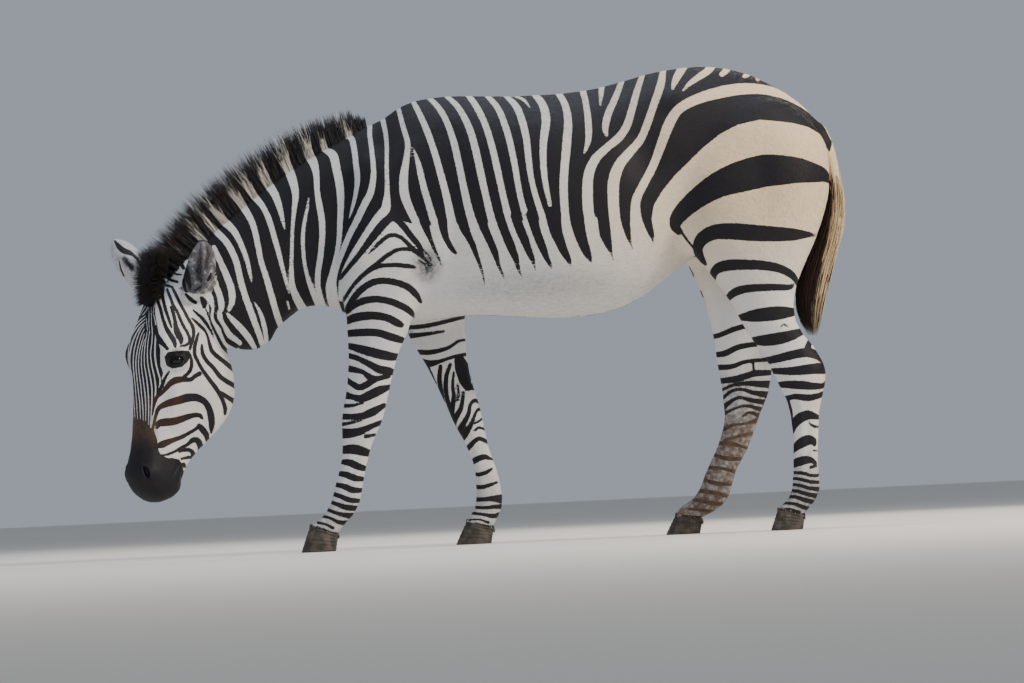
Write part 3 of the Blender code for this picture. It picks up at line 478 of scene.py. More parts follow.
# Black bands of shoulder, haunch and legs on their pale ground, on the near side.
SHOULDER_BLACK = (
    (-136, 854, 3.5, -116, 840, 5, -97, 818, 5, -90, 792, 3),
    (-128, 810, 4, -113, 798, 5, -105, 778, 3),
    (-112, 820, 3, -104, 802, 4, -99, 784, 3),
    (-352, 772, 12, -301, 826, 16, -247, 886, 19, -216, 922, 24, -194, 936, 22, -170, 912, 20,
     -146, 878, 18, -124, 848, 16, -116, 820, 8),
    (-268, 834, 5, -240, 860, 12, -214, 880, 13, -194, 884, 13, -172, 874, 12, -150, 850, 13,
     -130, 832, 12),
    (-350, 705, 6, -310, 756, 10, -274, 786, 12, -242, 808, 13, -215, 827, 13, -183, 842, 12,
     -150, 840, 11, -125, 825, 12, -103, 804, 9, -92, 786, 5),
    (-346, 710, 10, -314, 750, 12, -278, 780, 12, -240, 797, 12, -200, 799, 13, -165, 795, 14,
     -140, 790, 10),
    (-342, 682, 12, -314, 716, 18, -280, 744, 20, -244, 756, 19, -204, 752, 19, -166, 738, 20,
     -142, 716, 19, -129, 694, 10),
    (-339, 676, 16, -304, 698, 20, -260, 706, 20, -216, 698, 20, -180, 682, 21, -158, 666, 18,
     -152, 654, 8),
    (-346, 648, 20, -310, 658, 25, -266, 660, 24, -226, 652, 22, -200, 638, 23, -186, 630, 16),
    (-346, 614, 20, -300, 614, 22, -254, 611, 22, -220, 599, 23, -190, 589, 20, -182, 588, 12),
    (-346, 582, 16, -300, 566, 25, -256, 552, 28, -220, 543, 25, -200, 542, 18),
)

FORE_LEFT_BLACK = (
    (-348, 554, 16, -314, 542, 16, -282, 524, 19, -254, 508, 24, -226, 502, 22, -212, 496, 14),
    (-348, 516, 20, -324, 510, 18, -300, 502, 14, -286, 490, 18, -264, 482, 16, -230, 488, 14),
    (-350, 484, 16, -334, 472, 17, -314, 460, 19, -294, 466, 20, -268, 479, 15),
    (-354, 440, 22, -334, 434, 17, -310, 428, 22, -286, 436, 26, -258, 448, 26, -228, 458, 14),
    (-356, 410, 13, -334, 410, 10, -304, 416, 8),
    (-364, 380, 18, -338, 378, 17, -308, 379, 20, -280, 388, 24, -246, 406, 14),
    (-366, 358, 11, -334, 362, 9, -310, 367, 6),
    (-368, 332, 30, -340, 332, 26, -316, 336, 22, -290, 346, 17, -258, 358, 14),
    (-302, 320, 12, -276, 324, 9),
    (-366, 286, 24, -338, 286, 29, -316, 280, 27, -298, 274, 22, -284, 276, 12),
    (-374, 252, 14, -350, 248, 21, -326, 236, 21, -304, 229, 15),
    (-384, 220, 14, -360, 214, 19, -338, 204, 19, -312, 200, 13),
    (-396, 189, 13, -370, 182, 17, -346, 171, 19, -320, 169, 13),
    (-406, 164, 12, -380, 154, 14, -356, 143, 16, -326, 139, 12),
    (-414, 142, 10, -390, 132, 13, -364, 122, 17, -330, 118, 15),
    (-426, 122, 10, -400, 110, 11, -376, 102, 14, -344, 96, 20),
    (-438, 102, 9, -412, 94, 9, -390, 82, 12, -366, 78, 16),
    (-454, 84, 9, -428, 78, 8, -406, 66, 10),
)

FORE_RIGHT_BLACK = (
    (-180, 630, 14, -120, 632, 13, -60, 642, 12, -4, 654, 9),
    (-175, 606, 16, -130, 608, 13, -70, 614, 8),
    (-155, 560, 14, -110, 556, 15, -60, 566, 11, -30, 584, 9, 2, 589, 8),
    (-136, 532, 16, -116, 524, 20, -84, 529, 12, -50, 539, 10, -10, 546, 10, 8, 544, 6),
    (-124, 510, 20, -114, 490, 15, -102, 466, 10),
    (-84, 514, 12, -89, 480, 14, -86, 440, 14, -79, 406, 8),
    (-56, 518, 10, -69, 484, 13, -72, 446, 14, -68, 412, 13, -62, 384, 8),
    (-29, 530, 30, -22, 506, 42, -16, 474, 36, -12, 454, 22),
    (-47, 496, 6, -52, 460, 10, -50, 428, 12, -56, 394, 16, -59, 364, 12),
    (-38, 460, 7, -36, 436, 8, -40, 414, 7),
    (6, 506, 10, 9, 486, 8),
    (-10, 446, 14, 6, 452, 20, 22, 440, 10),
    (-22, 436, 10, -26, 410, 12, -34, 386, 15, -50, 362, 18, -54, 344, 14),
    (28, 404, 12, 10, 412, 12, -4, 400, 10, -10, 374, 13, -24, 350, 16, -36, 330, 20, -40, 316, 16),
    (34, 386, 15, 16, 384, 9, 4, 362, 10, -6, 340, 14, -22, 320, 22, -32, 306, 20),
    (6, 346, 7, 22, 354, 7, 32, 364, 5),
    (38, 326, 8, 18, 334, 8, 6, 326, 8),
    (-24, 270, 18, -6, 286, 15, 14, 302, 13, 32, 296, 12, 44, 286, 8),
    (-14, 230, 14, 6, 242, 18, 28, 249, 16, 46, 243, 9, 56, 240, 6),
    (-10, 206, 8, 10, 199, 12, 32, 204, 12, 50, 214, 7),
    (-6, 166, 12, 16, 162, 13, 36, 166, 12, 62, 174, 8),
    (-6, 128, 14, 20, 127, 13, 44, 128, 16, 74, 126, 28),
    (-8, 106, 9, 20, 103, 10, 50, 104, 12, 76, 104, 16),
    (-12, 89, 9, 18, 84, 10, 46, 78, 14, 68, 82, 14),
    (-24, 70, 6, 6, 70, 6, 32, 60, 9),
)

HAUNCH_BLACK = (
    (1052, 979, 12, 1024, 998, 40, 996, 1004, 56, 947, 1012, 74, 900, 1014, 86, 856, 1014, 92,
     795, 1002, 89, 734, 984, 76, 680, 956, 62, 638, 926, 52, 608, 896, 42, 600, 872, 28, 610, 852, 10),
    (604, 880, 14, 624, 846, 8, 654, 804, 5, 678, 774, 5),
    (994, 830, 8, 972, 831, 18, 930, 832, 35, 870, 836, 43, 810, 842, 47, 750, 849, 46, 706, 848, 42,
     674, 832, 38, 662, 808, 28, 668, 786, 20, 682, 762, 9),
    (944, 686, 10, 936, 704, 16, 920, 722, 22, 886, 739, 25, 840, 749, 27, 780, 754, 30, 732, 753, 32,
     708, 742, 26, 702, 722, 16, 706, 702, 8),
    (928, 692, 8, 910, 685, 17, 850, 687, 21, 796, 686, 23, 762, 679, 24, 744, 666, 19, 736, 652, 7),
)

HIND_LEFT_BLACK = (
    (760, 608, 8, 786, 608, 24, 820, 610, 37, 870, 613, 40, 910, 615, 30, 944, 616, 14),
    (884, 572, 3, 894, 581, 6, 906, 574, 4),
    (792, 542, 12, 830, 539, 30, 870, 541, 35, 910, 548, 31, 946, 559, 20, 966, 562, 9),
    (978, 546, 8, 966, 526, 17, 955, 504, 17),
    (796, 486, 14, 840, 482, 20, 880, 487, 24, 926, 496, 26, 960, 499, 28, 986, 490, 26, 1002, 474, 16),
    (854, 452, 16, 890, 449, 21, 930, 449, 27, 970, 452, 30, 1002, 452, 32, 1020, 450, 24),
    (866, 412, 14, 900, 411, 22, 940, 407, 25, 970, 403, 21, 1000, 404, 15, 1016, 424, 10),
    (886, 372, 13, 920, 376, 17, 950, 371, 20, 980, 374, 17, 1006, 384, 14),
    (896, 366, 12, 904, 334, 10, 902, 300, 13, 900, 270, 12),
    (900, 270, 16, 910, 296, 24, 928, 314, 29, 952, 322, 27, 976, 316, 16, 996, 312, 10),
    (954, 299, 6, 966, 290, 9, 984, 287, 6),
    (898, 214, 9, 910, 229, 18, 926, 242, 28, 946, 251, 30, 962, 249, 22, 966, 238, 12),
    (962, 222, 5, 986, 217, 5),
    (896, 180, 12, 914, 189, 25, 936, 195, 25, 954, 194, 18, 966, 186, 11),
    (952, 174, 10, 968, 178, 8),
    (896, 162, 7, 926, 159, 11, 956, 150, 10, 982, 152, 9),
    (892, 146, 8, 920, 142, 10, 950, 133, 11, 984, 130, 10),
    (890, 129, 8, 916, 125, 10, 946, 115, 12, 982, 110, 14),
    (886, 112, 8, 912, 108, 11, 940, 98, 13, 976, 90, 16),
    (880, 94, 8, 906, 92, 11, 934, 81, 14, 966, 72, 14),
    (870, 76, 8, 898, 74, 10, 926, 62, 13, 950, 56, 10),
    (860, 58, 7, 886, 58, 9, 914, 48, 10),
)

HIND_RIGHT_BLACK = (
    (686, 562, 14, 720, 566, 15, 760, 580, 16, 800, 588, 15, 880, 590, 14),
    (692, 512, 14, 730, 512, 18, 770, 528, 17, 810, 534, 15, 880, 536, 14),
    (704, 474, 18, 750, 474, 15, 790, 486, 12, 840, 489, 12, 880, 490, 12),
    (812, 486, 7, 814, 454, 8),
    (710, 434, 16, 760, 438, 19, 810, 450, 19, 846, 452, 18, 874, 452, 14),
    (714, 406, 9, 750, 420, 10, 790, 424, 14, 830, 420, 20, 870, 418, 24),
    (718, 382, 10, 744, 402, 10, 774, 408, 10, 810, 396, 14, 854, 388, 22),
    (720, 356, 16, 746, 376, 11, 770, 384, 10, 806, 374, 13, 850, 366, 18),
    (722, 340, 12, 750, 352, 8, 784, 360, 9, 816, 352, 12, 842, 344, 15),
    (776, 330, 7, 796, 340, 9, 824, 330, 14),
    (722, 296, 12, 746, 306, 10, 784, 309, 8, 816, 316, 16),
    (720, 264, 8, 754, 272, 9, 790, 279, 10, 816, 278, 8),
    (697, 257, 10, 740, 253, 13, 786, 238, 8),
    (682, 227, 8, 721, 212, 14, 769, 208, 10),
    (667, 188, 12, 709, 184, 9, 754, 169, 13),
    (652, 156, 9, 693, 141, 13, 739, 136, 9),
    (640, 123, 11, 681, 115, 12, 727, 102, 10),
    (625, 98, 9, 669, 87, 12, 719, 78, 11),
    (609, 72, 8, 657, 65, 10, 707, 52, 12),
    (590, 53, 8, 640, 44, 10, 688, 33, 10),
    (572, 34, 7, 615, 26, 9, 654, 17, 8),
)

# The head, on a pale ground; its far half repeats the near one across the middle of the face.
HEAD_BLACK = (
    (-872, 730, 8, -864, 704, 9, -858, 678, 9, -850, 654, 11, -838, 632, 13, -828, 614, 13, -825, 599, 9),
    (-860, 752, 8, -855, 726, 9, -850, 704, 9, -843, 682, 8, -838, 664, 7, -834, 654, 4),
    (-835, 712, 7, -829, 694, 9, -825, 674, 9, -823, 654, 13, -818, 636, 18, -810, 620, 15, -809, 608, 8),
    (-846, 764, 6, -836, 738, 8, -828, 716, 8, -818, 698, 8, -810, 676, 8, -803, 658, 8, -793, 640, 8,
     -787, 624, 8, -787, 610, 7, -798, 601, 7, -812, 598, 4),
    (-830, 766, 7, -820, 746, 8, -810, 722, 8, -798, 698, 8, -789, 678, 8, -779, 658, 9, -775, 640, 9,
     -777, 622, 8, -782, 606, 8, -786, 590, 6),
    (-774, 701, 4, -763, 690, 7, -752, 680, 9, -744, 669, 9, -736, 656, 8, -730, 644, 6, -725, 632, 4,
     -722, 623, 2),
    (-762, 636, 5, -768, 616, 8, -773, 596, 9, -774, 576, 9, -768, 558, 9, -760, 540, 9, -750, 522, 10,
     -736, 500, 11, -724, 482, 12, -713, 462, 11, -705, 440, 10, -701, 420, 10, -703, 404, 6),
    (-716, 468, 9, -704, 461, 11, -690, 450, 12, -677, 439, 13, -674, 426, 6),
    (-754, 602, 5, -753, 578, 10, -743, 556, 11, -726, 536, 11, -710, 512, 12, -694, 498, 13,
     -678, 487, 13, -668, 476, 7),
    (-778, 678, 5, -769, 669, 7, -759, 658, 9, -750, 649, 9, -744, 641, 7, -739, 630, 6, -736, 616, 7,
     -733, 602, 9, -728, 584, 11, -714, 568, 12, -696, 552, 12, -679, 535, 12, -669, 522, 9, -664, 502, 5),
    (-732, 744, 4, -729, 729, 4.5, -726, 714, 5.5, -726, 699, 5, -728.5, 686, 4, -728, 672, 5,
     -724, 658, 6, -716, 638, 7.5, -709, 621, 8, -702, 604, 9, -694, 590, 10, -680, 573, 8),
    (-748, 734, 10, -743, 722, 17, -743, 710, 11),
    (-792, 746, 7, -779, 732, 11, -766, 722, 8),
    (-844, 795, 6, -830, 789, 7, -816, 784, 6),
    (-854, 778, 6, -842, 774, 7, -830, 770, 5),
    (-787, 576, 5, -783, 556, 8, -786, 536, 9, -794, 523, 9, -806, 513, 9),
    (-846, 530, 4, -858, 512, 8, -868, 492, 9, -878, 472, 9, -888, 452, 9, -895, 432, 6, -900, 410, 4),
    (-882, 660, 6, -876, 636, 10, -868, 618, 15, -856, 604, 11, -846, 592, 8),
    (-902, 364, 7, -896, 388, 7, -889, 410, 9, -882, 426, 12, -866, 436, 17, -846, 442, 20, -824, 447, 22,
     -802, 453, 23, -782, 454, 22, -766, 449, 20, -752, 438, 17, -744, 422, 17, -740, 402, 18,
     -739, 382, 17, -741, 364, 11, -743, 352, 4),
    (-774, 376, 8, -769, 368, 16, -762, 358, 17, -756, 346, 14, -756, 330, 7),
    (-884, 294, 4, -866, 295, 6, -844, 303, 7, -828, 312, 8, -808, 322, 9, -794, 333, 14, -782, 333, 16,
     -776, 322, 16, -776, 308, 12, -780, 294, 5),
    (-832, 302, 5, -818, 306, 9, -804, 306, 11, -796, 298, 11, -796, 286, 11, -802, 272, 5),
    (-826, 282, 6, -810, 285, 8, -798, 286, 8),
    (-822, 266, 10, -820, 260, 8),
    (-914, 770, 30, -904, 790, 50, -884, 820, 56, -860, 850, 50),
    (-840, 895, 12, -826, 870, 11, -813, 852, 11, -804, 834, 11, -798, 823, 9),
    (-860, 854, 14, -849, 842, 10, -840, 829, 8, -829, 815, 6, -820, 807, 5, -805, 805, 4),
    (-793, 878, 12, -780, 859, 8),
)

HEAD_CHESTNUT = (
    (-888, 454, 4, -874, 466, 8, -858, 482, 12, -844, 496, 16, -828, 504, 19, -810, 506, 15, -790, 504, 11,
     -776, 514, 11, -764, 520, 13),
    (-889, 372, 8, -882, 384, 18, -866, 387, 22, -844, 388, 21, -824, 393, 19, -804, 399, 16,
     -784, 404, 13, -770, 402, 12, -764, 394, 7),
    (-888, 318, 6, -878, 324, 19, -862, 330, 17, -842, 337, 13, -822, 344, 11, -802, 354, 9, -784, 364, 9,
     -773, 374, 10),
)

FOREHEAD = (
    -944, 760, -910, 764, -879, 752, -882, 700, -877, 670, -872, 640, -874, 615, -868, 594, -869, 570,
    -870, 546, -864, 528, -870, 502, -881, 478, -892, 452, -898, 428, -904, 396, -910, 360, -930, 340,
    -1030, 340, -1030, 720,
)

FOREHEAD_PALE = (
    (-917, 746, 3.5, -926, 728, 5, -936, 708, 6, -944, 690, 5, -958, 666, 4.5, -974, 642, 4),
    (-909, 739, 3, -918, 724, 4, -929, 708, 4.5, -934, 692, 4, -946, 674, 3),
    (-903, 732, 3, -910, 720, 3.5, -920, 707, 3.5, -929, 694, 3),
    (-902, 716, 3, -909, 705, 3.5, -919, 695, 3.5),
    (-880, 736, 2.5, -884, 716, 3, -887, 698, 3),
    (-910, 692, 3, -934, 676, 4.5, -954, 656, 5, -972, 630, 5, -984, 606, 5),
    (-910, 683, 3, -930, 669, 4.5, -948, 650, 5, -963, 626, 5, -973, 600, 5.5, -979, 576, 5, -976, 550, 4),
    (-912, 672, 3, -927, 660, 4.5, -940, 643, 5, -952, 620, 5.5, -960, 594, 6.5, -964, 570, 6.5,
     -963, 546, 6, -959, 524, 5, -957, 490, 4, -954, 440, 3.5, -952, 404, 3),
    (-972, 520, 3, -967, 480, 3.5, -962, 440, 3.5, -959, 406, 3),
    (-916, 664, 3, -928, 648, 4, -939, 624, 4.2, -947, 598, 4.5, -951, 574, 4.5, -952, 546, 4.5,
     -950, 515, 4, -947, 470, 3.5, -945, 430, 3.5, -944, 400, 3),
    (-914, 654, 3, -924, 636, 3.6, -933, 610, 4, -940, 584, 4.2, -944, 554, 4.2, -942, 515, 4,
     -939, 480, 4, -936, 445, 4, -935, 400, 3.5),
    (-914, 640, 3, -923, 616, 3.6, -931, 590, 4, -935, 564, 4, -935, 534, 3.8, -931, 496, 4, -929, 466, 4,
     -927, 434, 4.2, -927, 396, 3.5),
    (-914, 624, 3, -922, 598, 3.6, -926, 570, 3.8, -926, 540, 3.8, -922, 504, 4.2, -919, 470, 4.5,
     -918, 440, 4.2, -920, 394, 3.5),
    (-906, 644, 3, -912, 612, 3.6, -916, 584, 3.8, -917, 552, 4, -913, 522, 4.5, -910, 488, 4.8,
     -909, 456, 4.5, -910, 422, 4.2, -912, 382, 3.5),
    (-898, 646, 3, -904, 612, 3.6, -907, 580, 4, -906, 548, 4.5, -902, 522, 5, -898, 488, 5,
     -899, 456, 4.5, -902, 424, 4.2, -906, 384, 4, -909, 362, 2.5),
    (-892, 672, 3, -890, 640, 3.6, -892, 614, 4, -897, 582, 4.2, -895, 550, 4.8, -890, 522, 5,
     -887, 490, 5, -889, 462, 5, -893, 432, 4.5, -898, 394, 4, -902, 360, 3),
    (-908, 688, 2, -906, 666, 3, -904, 646, 2.5),
    (-900, 718, 2, -899, 694, 2.8, -900, 666, 2.8, -898, 648, 2),
    (-893, 726, 2, -892, 700, 2.8, -892, 674, 2.8),
    (-886, 696, 3, -880, 668, 4, -880, 638, 5, -882, 610, 5.5, -884, 580, 6, -882, 552, 6, -877, 526, 5.5,
     -873, 506, 5, -877, 482, 5, -884, 463, 4.5),
)

EYE_PATCH = (
    -856, 570, -846, 583, -816, 586, -789, 585, -783, 574, -794, 554, -810, 540, -836, 537, -852, 546,
)

MUZZLE = (
    -1040, 392, -956, 390, -935, 388, -915, 380, -898, 364, -890, 340, -888, 310, -882, 296, -866, 286,
    -846, 284, -832, 280, -826, 266, -822, 240, -816, 210, -800, 140, -1040, 140,
)



class Markings:
    """The stripes, read at any place on the animal as a distance from the nearest stripe's edge."""

    @staticmethod
    def through(row: Row, parts: int = 4) -> Array:
        """Runs a curve through a stripe's stations.

        Args:
            row: Place back, height and width of each station in turn, in millimetres.
            parts: Steps from one to the next.

        Returns:
            The curve's points, each with its width, in centimetres.
        """
        rows = np.round(np.reshape(row, (-1, 3)) / 10.0, 3)
        if len(rows) < 3:
            share = np.linspace(0.0, 1.0, parts * 2 + 1)[:, None]
            return rows[0] + (rows[-1] - rows[0]) * share
        ends = np.vstack((rows[0] * 2 - rows[1], rows, rows[-1] * 2 - rows[-2]))
        made = []
        for i in range(1, len(ends) - 2):
            a, b, c, d = ends[i - 1 : i + 3]
            for t in np.arange(parts) / parts:
                bend = (2 * a - 5 * b + 4 * c - d) * t * t + (3 * b - a - 3 * c + d) * t**3
                made.append(0.5 * (2 * b + (c - a) * t + bend))
        made.append(ends[-2])
        return np.array(made)

    @classmethod
    def stripe(cls, spots: Array, row: Row, reach: float = 4.0) -> Array:
        """Measures how far inside one stripe each spot lies.

        Args:
            spots: Place back and height, in centimetres.
            row: The stripe's stations.
            reach: The most that is measured outside the stripe.

        Returns:
            Centimetres inside the stripe's edge, negative outside.
        """
        line = cls.through(row)
        depth = np.full(len(spots), -reach)
        low = line[:, :2].min(axis=0) - reach - 4.0
        high = line[:, :2].max(axis=0) + reach + 4.0
        near = np.flatnonzero(((spots > low) & (spots < high)).all(axis=1))
        if not len(near):
            return depth
        close = spots[near]
        best = np.full(len(near), -reach)
        for start, stop in zip(line[:-1], line[1:]):
            run = stop[:2] - start[:2]
            away = close - start[:2]
            share = np.clip(away @ run / max(run @ run, 1e-9), 0.0, 1.0)
            gap = np.hypot(away[:, 0] - share * run[0], away[:, 1] - share * run[1])
            width = start[2] + share * (stop[2] - start[2])
            best = np.maximum(best, width / 2 - gap)
        depth[near] = best
        return depth

    @staticmethod
    def inside(spots: Array, corners: Row) -> Array:
        """Measures how far inside an outline each spot lies.

        Args:
            spots: Place back and height, in centimetres.
            corners: Place back and height of the outline's corners in turn, in millimetres.

        Returns:
            Centimetres inside the outline, negative outside.
        """
        ring = np.round(np.reshape(corners, (-1, 2)) / 10.0, 3)
        gap = np.full(len(spots), 1e9)
        crossed = np.zeros(len(spots), dtype=bool)
        for start, stop in zip(ring, np.roll(ring, -1, axis=0)):
            run = stop - start
            away = spots - start
            share = np.clip(away @ run / max(run @ run, 1e-9), 0.0, 1.0)
            gap = np.minimum(gap, np.hypot(away[:, 0] - share * run[0], away[:, 1] - share * run[1]))
            over = (start[1] > spots[:, 1]) != (stop[1] > spots[:, 1])
            rise = run[1] if run[1] else 1e-9
            crossed ^= over & (spots[:, 0] < run[0] * (spots[:, 1] - start[1]) / rise + start[0])
        return np.where(crossed, gap, -gap)

    @classmethod
    def add_black(cls, tone: Array, spots: Array, rows: Iterable[Row]) -> Array:
        """Lays black stripes over what is there.

        Args:
            tone: The marking so far.
            spots: Place back and height, in centimetres.
            rows: The stripes.

        Returns:
            The new marking.
        """
        for row in rows:
            tone = np.minimum(tone, -cls.stripe(spots, row))
        return tone

    @classmethod
    def add_pale(cls, tone: Array, spots: Array, rows: Iterable[Row]) -> Array:
        """Lays pale stripes over what is there, as add_black lays black ones."""
        for row in rows:
            tone = np.maximum(tone, cls.stripe(spots, row))
        return tone

    @classmethod
    def on_body(cls, spots: Array) -> Array:
        """Gives the marking of neck, barrel, shoulder and haunch at spots seen from the side."""
        tone = cls.add_pale(-cls.inside(spots, GROUND), spots, NECK_PALE + BARREL_PALE)
        return cls.add_black(tone, spots, SHOULDER_BLACK + HAUNCH_BLACK + BELLY_BLACK + THROAT_BLACK)

    @classmethod
    def on_head(cls, spots: Array) -> Array:
        """Gives the marking of the head's near half at spots seen from the side."""
        tone = cls.add_pale(-cls.inside(spots, FOREHEAD), spots, FOREHEAD_PALE)
        tone = cls.add_black(tone, spots, HEAD_BLACK + HEAD_CHESTNUT)
        tone = np.minimum(tone, -cls.inside(spots, EYE_PATCH))
        return np.minimum(tone, -cls.inside(spots, MUZZLE))

    @staticmethod
    def near_half(place: Array) -> Array:
        """Folds the head's far half onto its near one, all but the far half of the forehead."""
        left = (place - BROW) @ FACE_LEFT
        out = (place - BROW) @ FACE_NORMAL
        folded = (left < 0.0) & ((left < -0.066) | (out < -0.09) | (place[:, 2] < 0.36))
        # The rear face of the jaw runs with the fold, so there the stripes carry on past the middle.
        jaw = ease(out, -0.17, -0.21) * ease(left, -0.075, -0.020)
        return place - (np.where(folded, left, 0.0) * (1.0 - jaw))[:, None] * 2.0 * FACE_LEFT

    @staticmethod
    def head_edge(height: Array) -> Array:
        """Gives how far back the line behind the jaw and the ears lies at each height."""
        (low_x, low_z), (high_x, high_z) = HEAD_EDGE
        return low_x + (height - low_z) * (high_x - low_x) / (high_z - low_z)

    @classmethod
    def is_head(cls, place: Array) -> Array:
        """Tells which places lie ahead of the line behind the jaw and the ears."""
        return (place[:, 0] < cls.head_edge(place[:, 2])) & (place[:, 2] < HEAD_EDGE[1][1])

    @classmethod
    def on_sides(cls, place: Array) -> Array:
        """Gives the marking of all but head and ears.

        Args:
            place: Places in the maker's own frame, in metres.

        Returns:
            The pale colour's distance from its edge, in centimetres.
        """
        back, side, height = place.T
        right = side > 0.0
        fore_right = right & (back > -0.24) & (back < 0.14) & (height < 0.665)
        hind_right = right & (back > 0.44) & (back < 0.92) & (height < 0.62)
        slip = 0.20 * ease(height, 0.86, 0.58) * ease(back, 0.30, 0.10)
        stride = 0.17 * ease(height, 0.95, 0.62) * ease(back, 0.40, 0.62)
        stride = stride * (1.0 - 0.75 * ease(back, 0.60, 0.95))
        sway = 0.010 * np.sin(height * 17.0 + back * 5.0)
        seen = back + (sway - slip + stride) * ease(side, 0.0, 0.10)
        # The neck's stripes turn back on themselves where the far cheek leaves room for them.
        over = cls.head_edge(height) + 0.012 - seen
        seen = np.where(right & (over > 0.0) & (height > 0.55), seen + over * 2.0, seen)
        legs = fore_right | hind_right
        spots = np.stack((np.where(legs, back, seen), height), axis=1) * 100.0
        tone = np.where(legs, 4.0, cls.on_body(spots))
        low = height < 0.64
        for rows, chosen in (
            (FORE_LEFT_BLACK, ~right & low & (back < -0.12)),
            (FORE_RIGHT_BLACK, fore_right),
            (HIND_LEFT_BLACK, ~right & low & (back > 0.62)),
            (HIND_RIGHT_BLACK, hind_right),
        ):
            tone[chosen] = cls.add_black(tone[chosen], spots[chosen], rows)
        # A plain band parts the far forearm from the shoulder.
        band = right & (back > -0.24) & (back < 0.14)
        tone = np.where(band, np.maximum(tone, 0.9 - np.abs(height - 0.668) * 100.0), tone)
        # The far thigh is plain on its inner side.
        inner = right & (back > 0.44) & (height > 0.60) & (height < 0.86)
        tone = np.where(inner, np.maximum(tone, 10.0 - side * 100.0), tone)
        # A dark line runs along the middle of the belly.
        ventral = (height < 0.74) & (back > -0.12) & (back < 0.50)
        return np.where(ventral, np.minimum(tone, np.abs(side) * 100.0 - 0.8), tone)

    @classmethod
    def mark_ears(cls, place: Array, ear: Array, tone: Array, dark_skin_and_shade: Array) -> None:
        """Writes the ears' markings and their painted shade over what is there.

        Args:
            place: Places in the maker's own frame, in metres.
            ear: The ears' marking, as read has it.
            tone: The pale colour's distance from its edge, in centimetres.
            dark_skin_and_shade: The share of dark skin and of painted shade that shows.
        """
        # Each ear is greyed all over as painted shade, the near one more. It is darker still along the shade
        # rows, whose cores turn to black mottling, also painted shade.
        for here, black, shade, level in (
            (ear > 0.5, EAR_LEFT_BLACK, EAR_LEFT_SHADE, 1.15),
            (ear < -0.5, EAR_RIGHT_BLACK, EAR_RIGHT_SHADE, 0.50),
        ):
            seen = place[here][:, (0, 2)] * 100.0
            tone[here] = cls.add_black(np.full(len(seen), 4.0), seen, black)
            dark = -cls.add_black(np.full(len(seen), 4.0), seen, shade)
            dark_skin_and_shade[here] = level + 1.2 * ease(dark, -0.8, 0.2)
            tone[here] = np.minimum(tone[here], 0.20 - 0.27 * ease(dark, -0.5, 0.6))

    @classmethod
    def read(cls, place: Array, ear: Array) -> dict[str, Array]:
        """Reads the coat at places on the skin.

        Args:
            place: Places in the maker's own frame, in metres.
            ear: 0 off the ears, else 1 plus the share of the ear's length, negative on the right.

        Returns:
            By name: tone, the pale colour's distance from its edge in millimetres, and shares of
            warm (cream), umber (chestnut), earth (dried mud) and dark_skin_and_shade (dark skin in the
            pale, and painted shade under the belly, on the far hind leg and on the ears).
        """
        back, side, height = place.T
        far_hind = (side > 0.0) & (back > 0.44) & (back < 0.92) & (height < 0.62)
        tone = cls.on_sides(place)
        near = cls.near_half(place)
        # Below the ears all that lies ahead of the jaw's line takes the cheek's own stripes.
        cheek = cls.is_head(place) & (height < 0.68)
        limit = cls.head_edge(height) - 0.004
        near[:, 0] = np.where(cheek, np.minimum(near[:, 0], limit), near[:, 0])
        head = cls.is_head(place) & cls.is_head(near)
        folded = near[head][:, (0, 2)] * 100.0
        tone[head] = cls.on_head(folded)
        throat = head & ((place - BROW) @ FACE_LEFT > 0.0)
        tone[throat] = cls.add_black(tone[throat], near[throat][:, (0, 2)] * 100.0, THROAT_BLACK)
        umber = np.zeros(len(place))
        bars = -cls.add_black(np.full(len(folded), 4.0), folded, HEAD_CHESTNUT)
        along, high = folded.T
        russet = ease(bars, -0.4, 0.5) * ease(along, -79.5, -82.5) * ease(along, -89.0, -87.5)
        nose = 0.45 * ease(high, 30.0, 36.5) * ease(high, 46.0, 39.5)
        bar = ease(high, 42.0, 43.0) * ease(high, 47.0, 46.0) * ease(along, -80.5, -82.5)
        umber[head] = np.maximum(np.maximum(0.6 * russet, nose * ease(along, -87.5, -89.0)), bar * 0.8)
        warm = ease(back, 0.10, 0.85) * ease(height, 0.60, 0.95)
        warm = np.maximum(warm, ease(back, 0.94, 1.02) * 0.9)
        earth = 0.95 * far_hind * ease(height, 0.38, 0.29) + 0.10 * ease(height, 0.20, 0.06)
        earth[head] = 0.55 * ease(high, 31.0, 37.0) * ease(high, 43.0, 39.5) * ease(along, -88.0, -89.5)
        elbow = ease(np.hypot((back + 0.105) / 0.060, (height - 0.795) / 0.070), 1.0, 0.25)
        # Painted shade along the underside of the belly, together with its fine dark streaks.
        belly = ease(np.hypot((back - 0.18) / 0.36, (height - 0.72) / 0.07), 1.0, 0.1)
        dark_skin_and_shade = elbow * 0.95 + 0.35 * belly
        # Painted shade on the far hind leg, above its mud.
        dark_skin_and_shade = np.maximum(dark_skin_and_shade, far_hind * ease(height, 0.50, 0.38) * 0.7)
        # The lower legs grow darker towards the hoof, the hind ones more.
        dark_skin_and_shade = np.maximum(dark_skin_and_shade, ease(height, 0.27, 0.10) * np.where(back > 0.4, 0.75, 0.35))
        dark_skin_and_shade = np.maximum(dark_skin_and_shade, 0.40 * ease(height, 1.02, 1.24) * ease(back, 0.75, 0.45))
        dark_skin_and_shade = np.where(head & (np.abs(ear) <= 0.5), 0.06, dark_skin_and_shade)
        cls.mark_ears(place, ear, tone, dark_skin_and_shade)
        tone[head] = (tone[head] - 0.06) * (1.0 + ease(along, -86.0, -88.0))
        earth = np.clip(earth, 0.0, 1.0)
        return {"tone": tone * 10.0, "warm": warm, "umber": umber, "earth": earth, "dark_skin_and_shade": dark_skin_and_shade}


# The settings of a node that mixes two colours: share 0, colours 6 and 7, outcome 2.
COLOUR = {"data_type": "RGBA"}


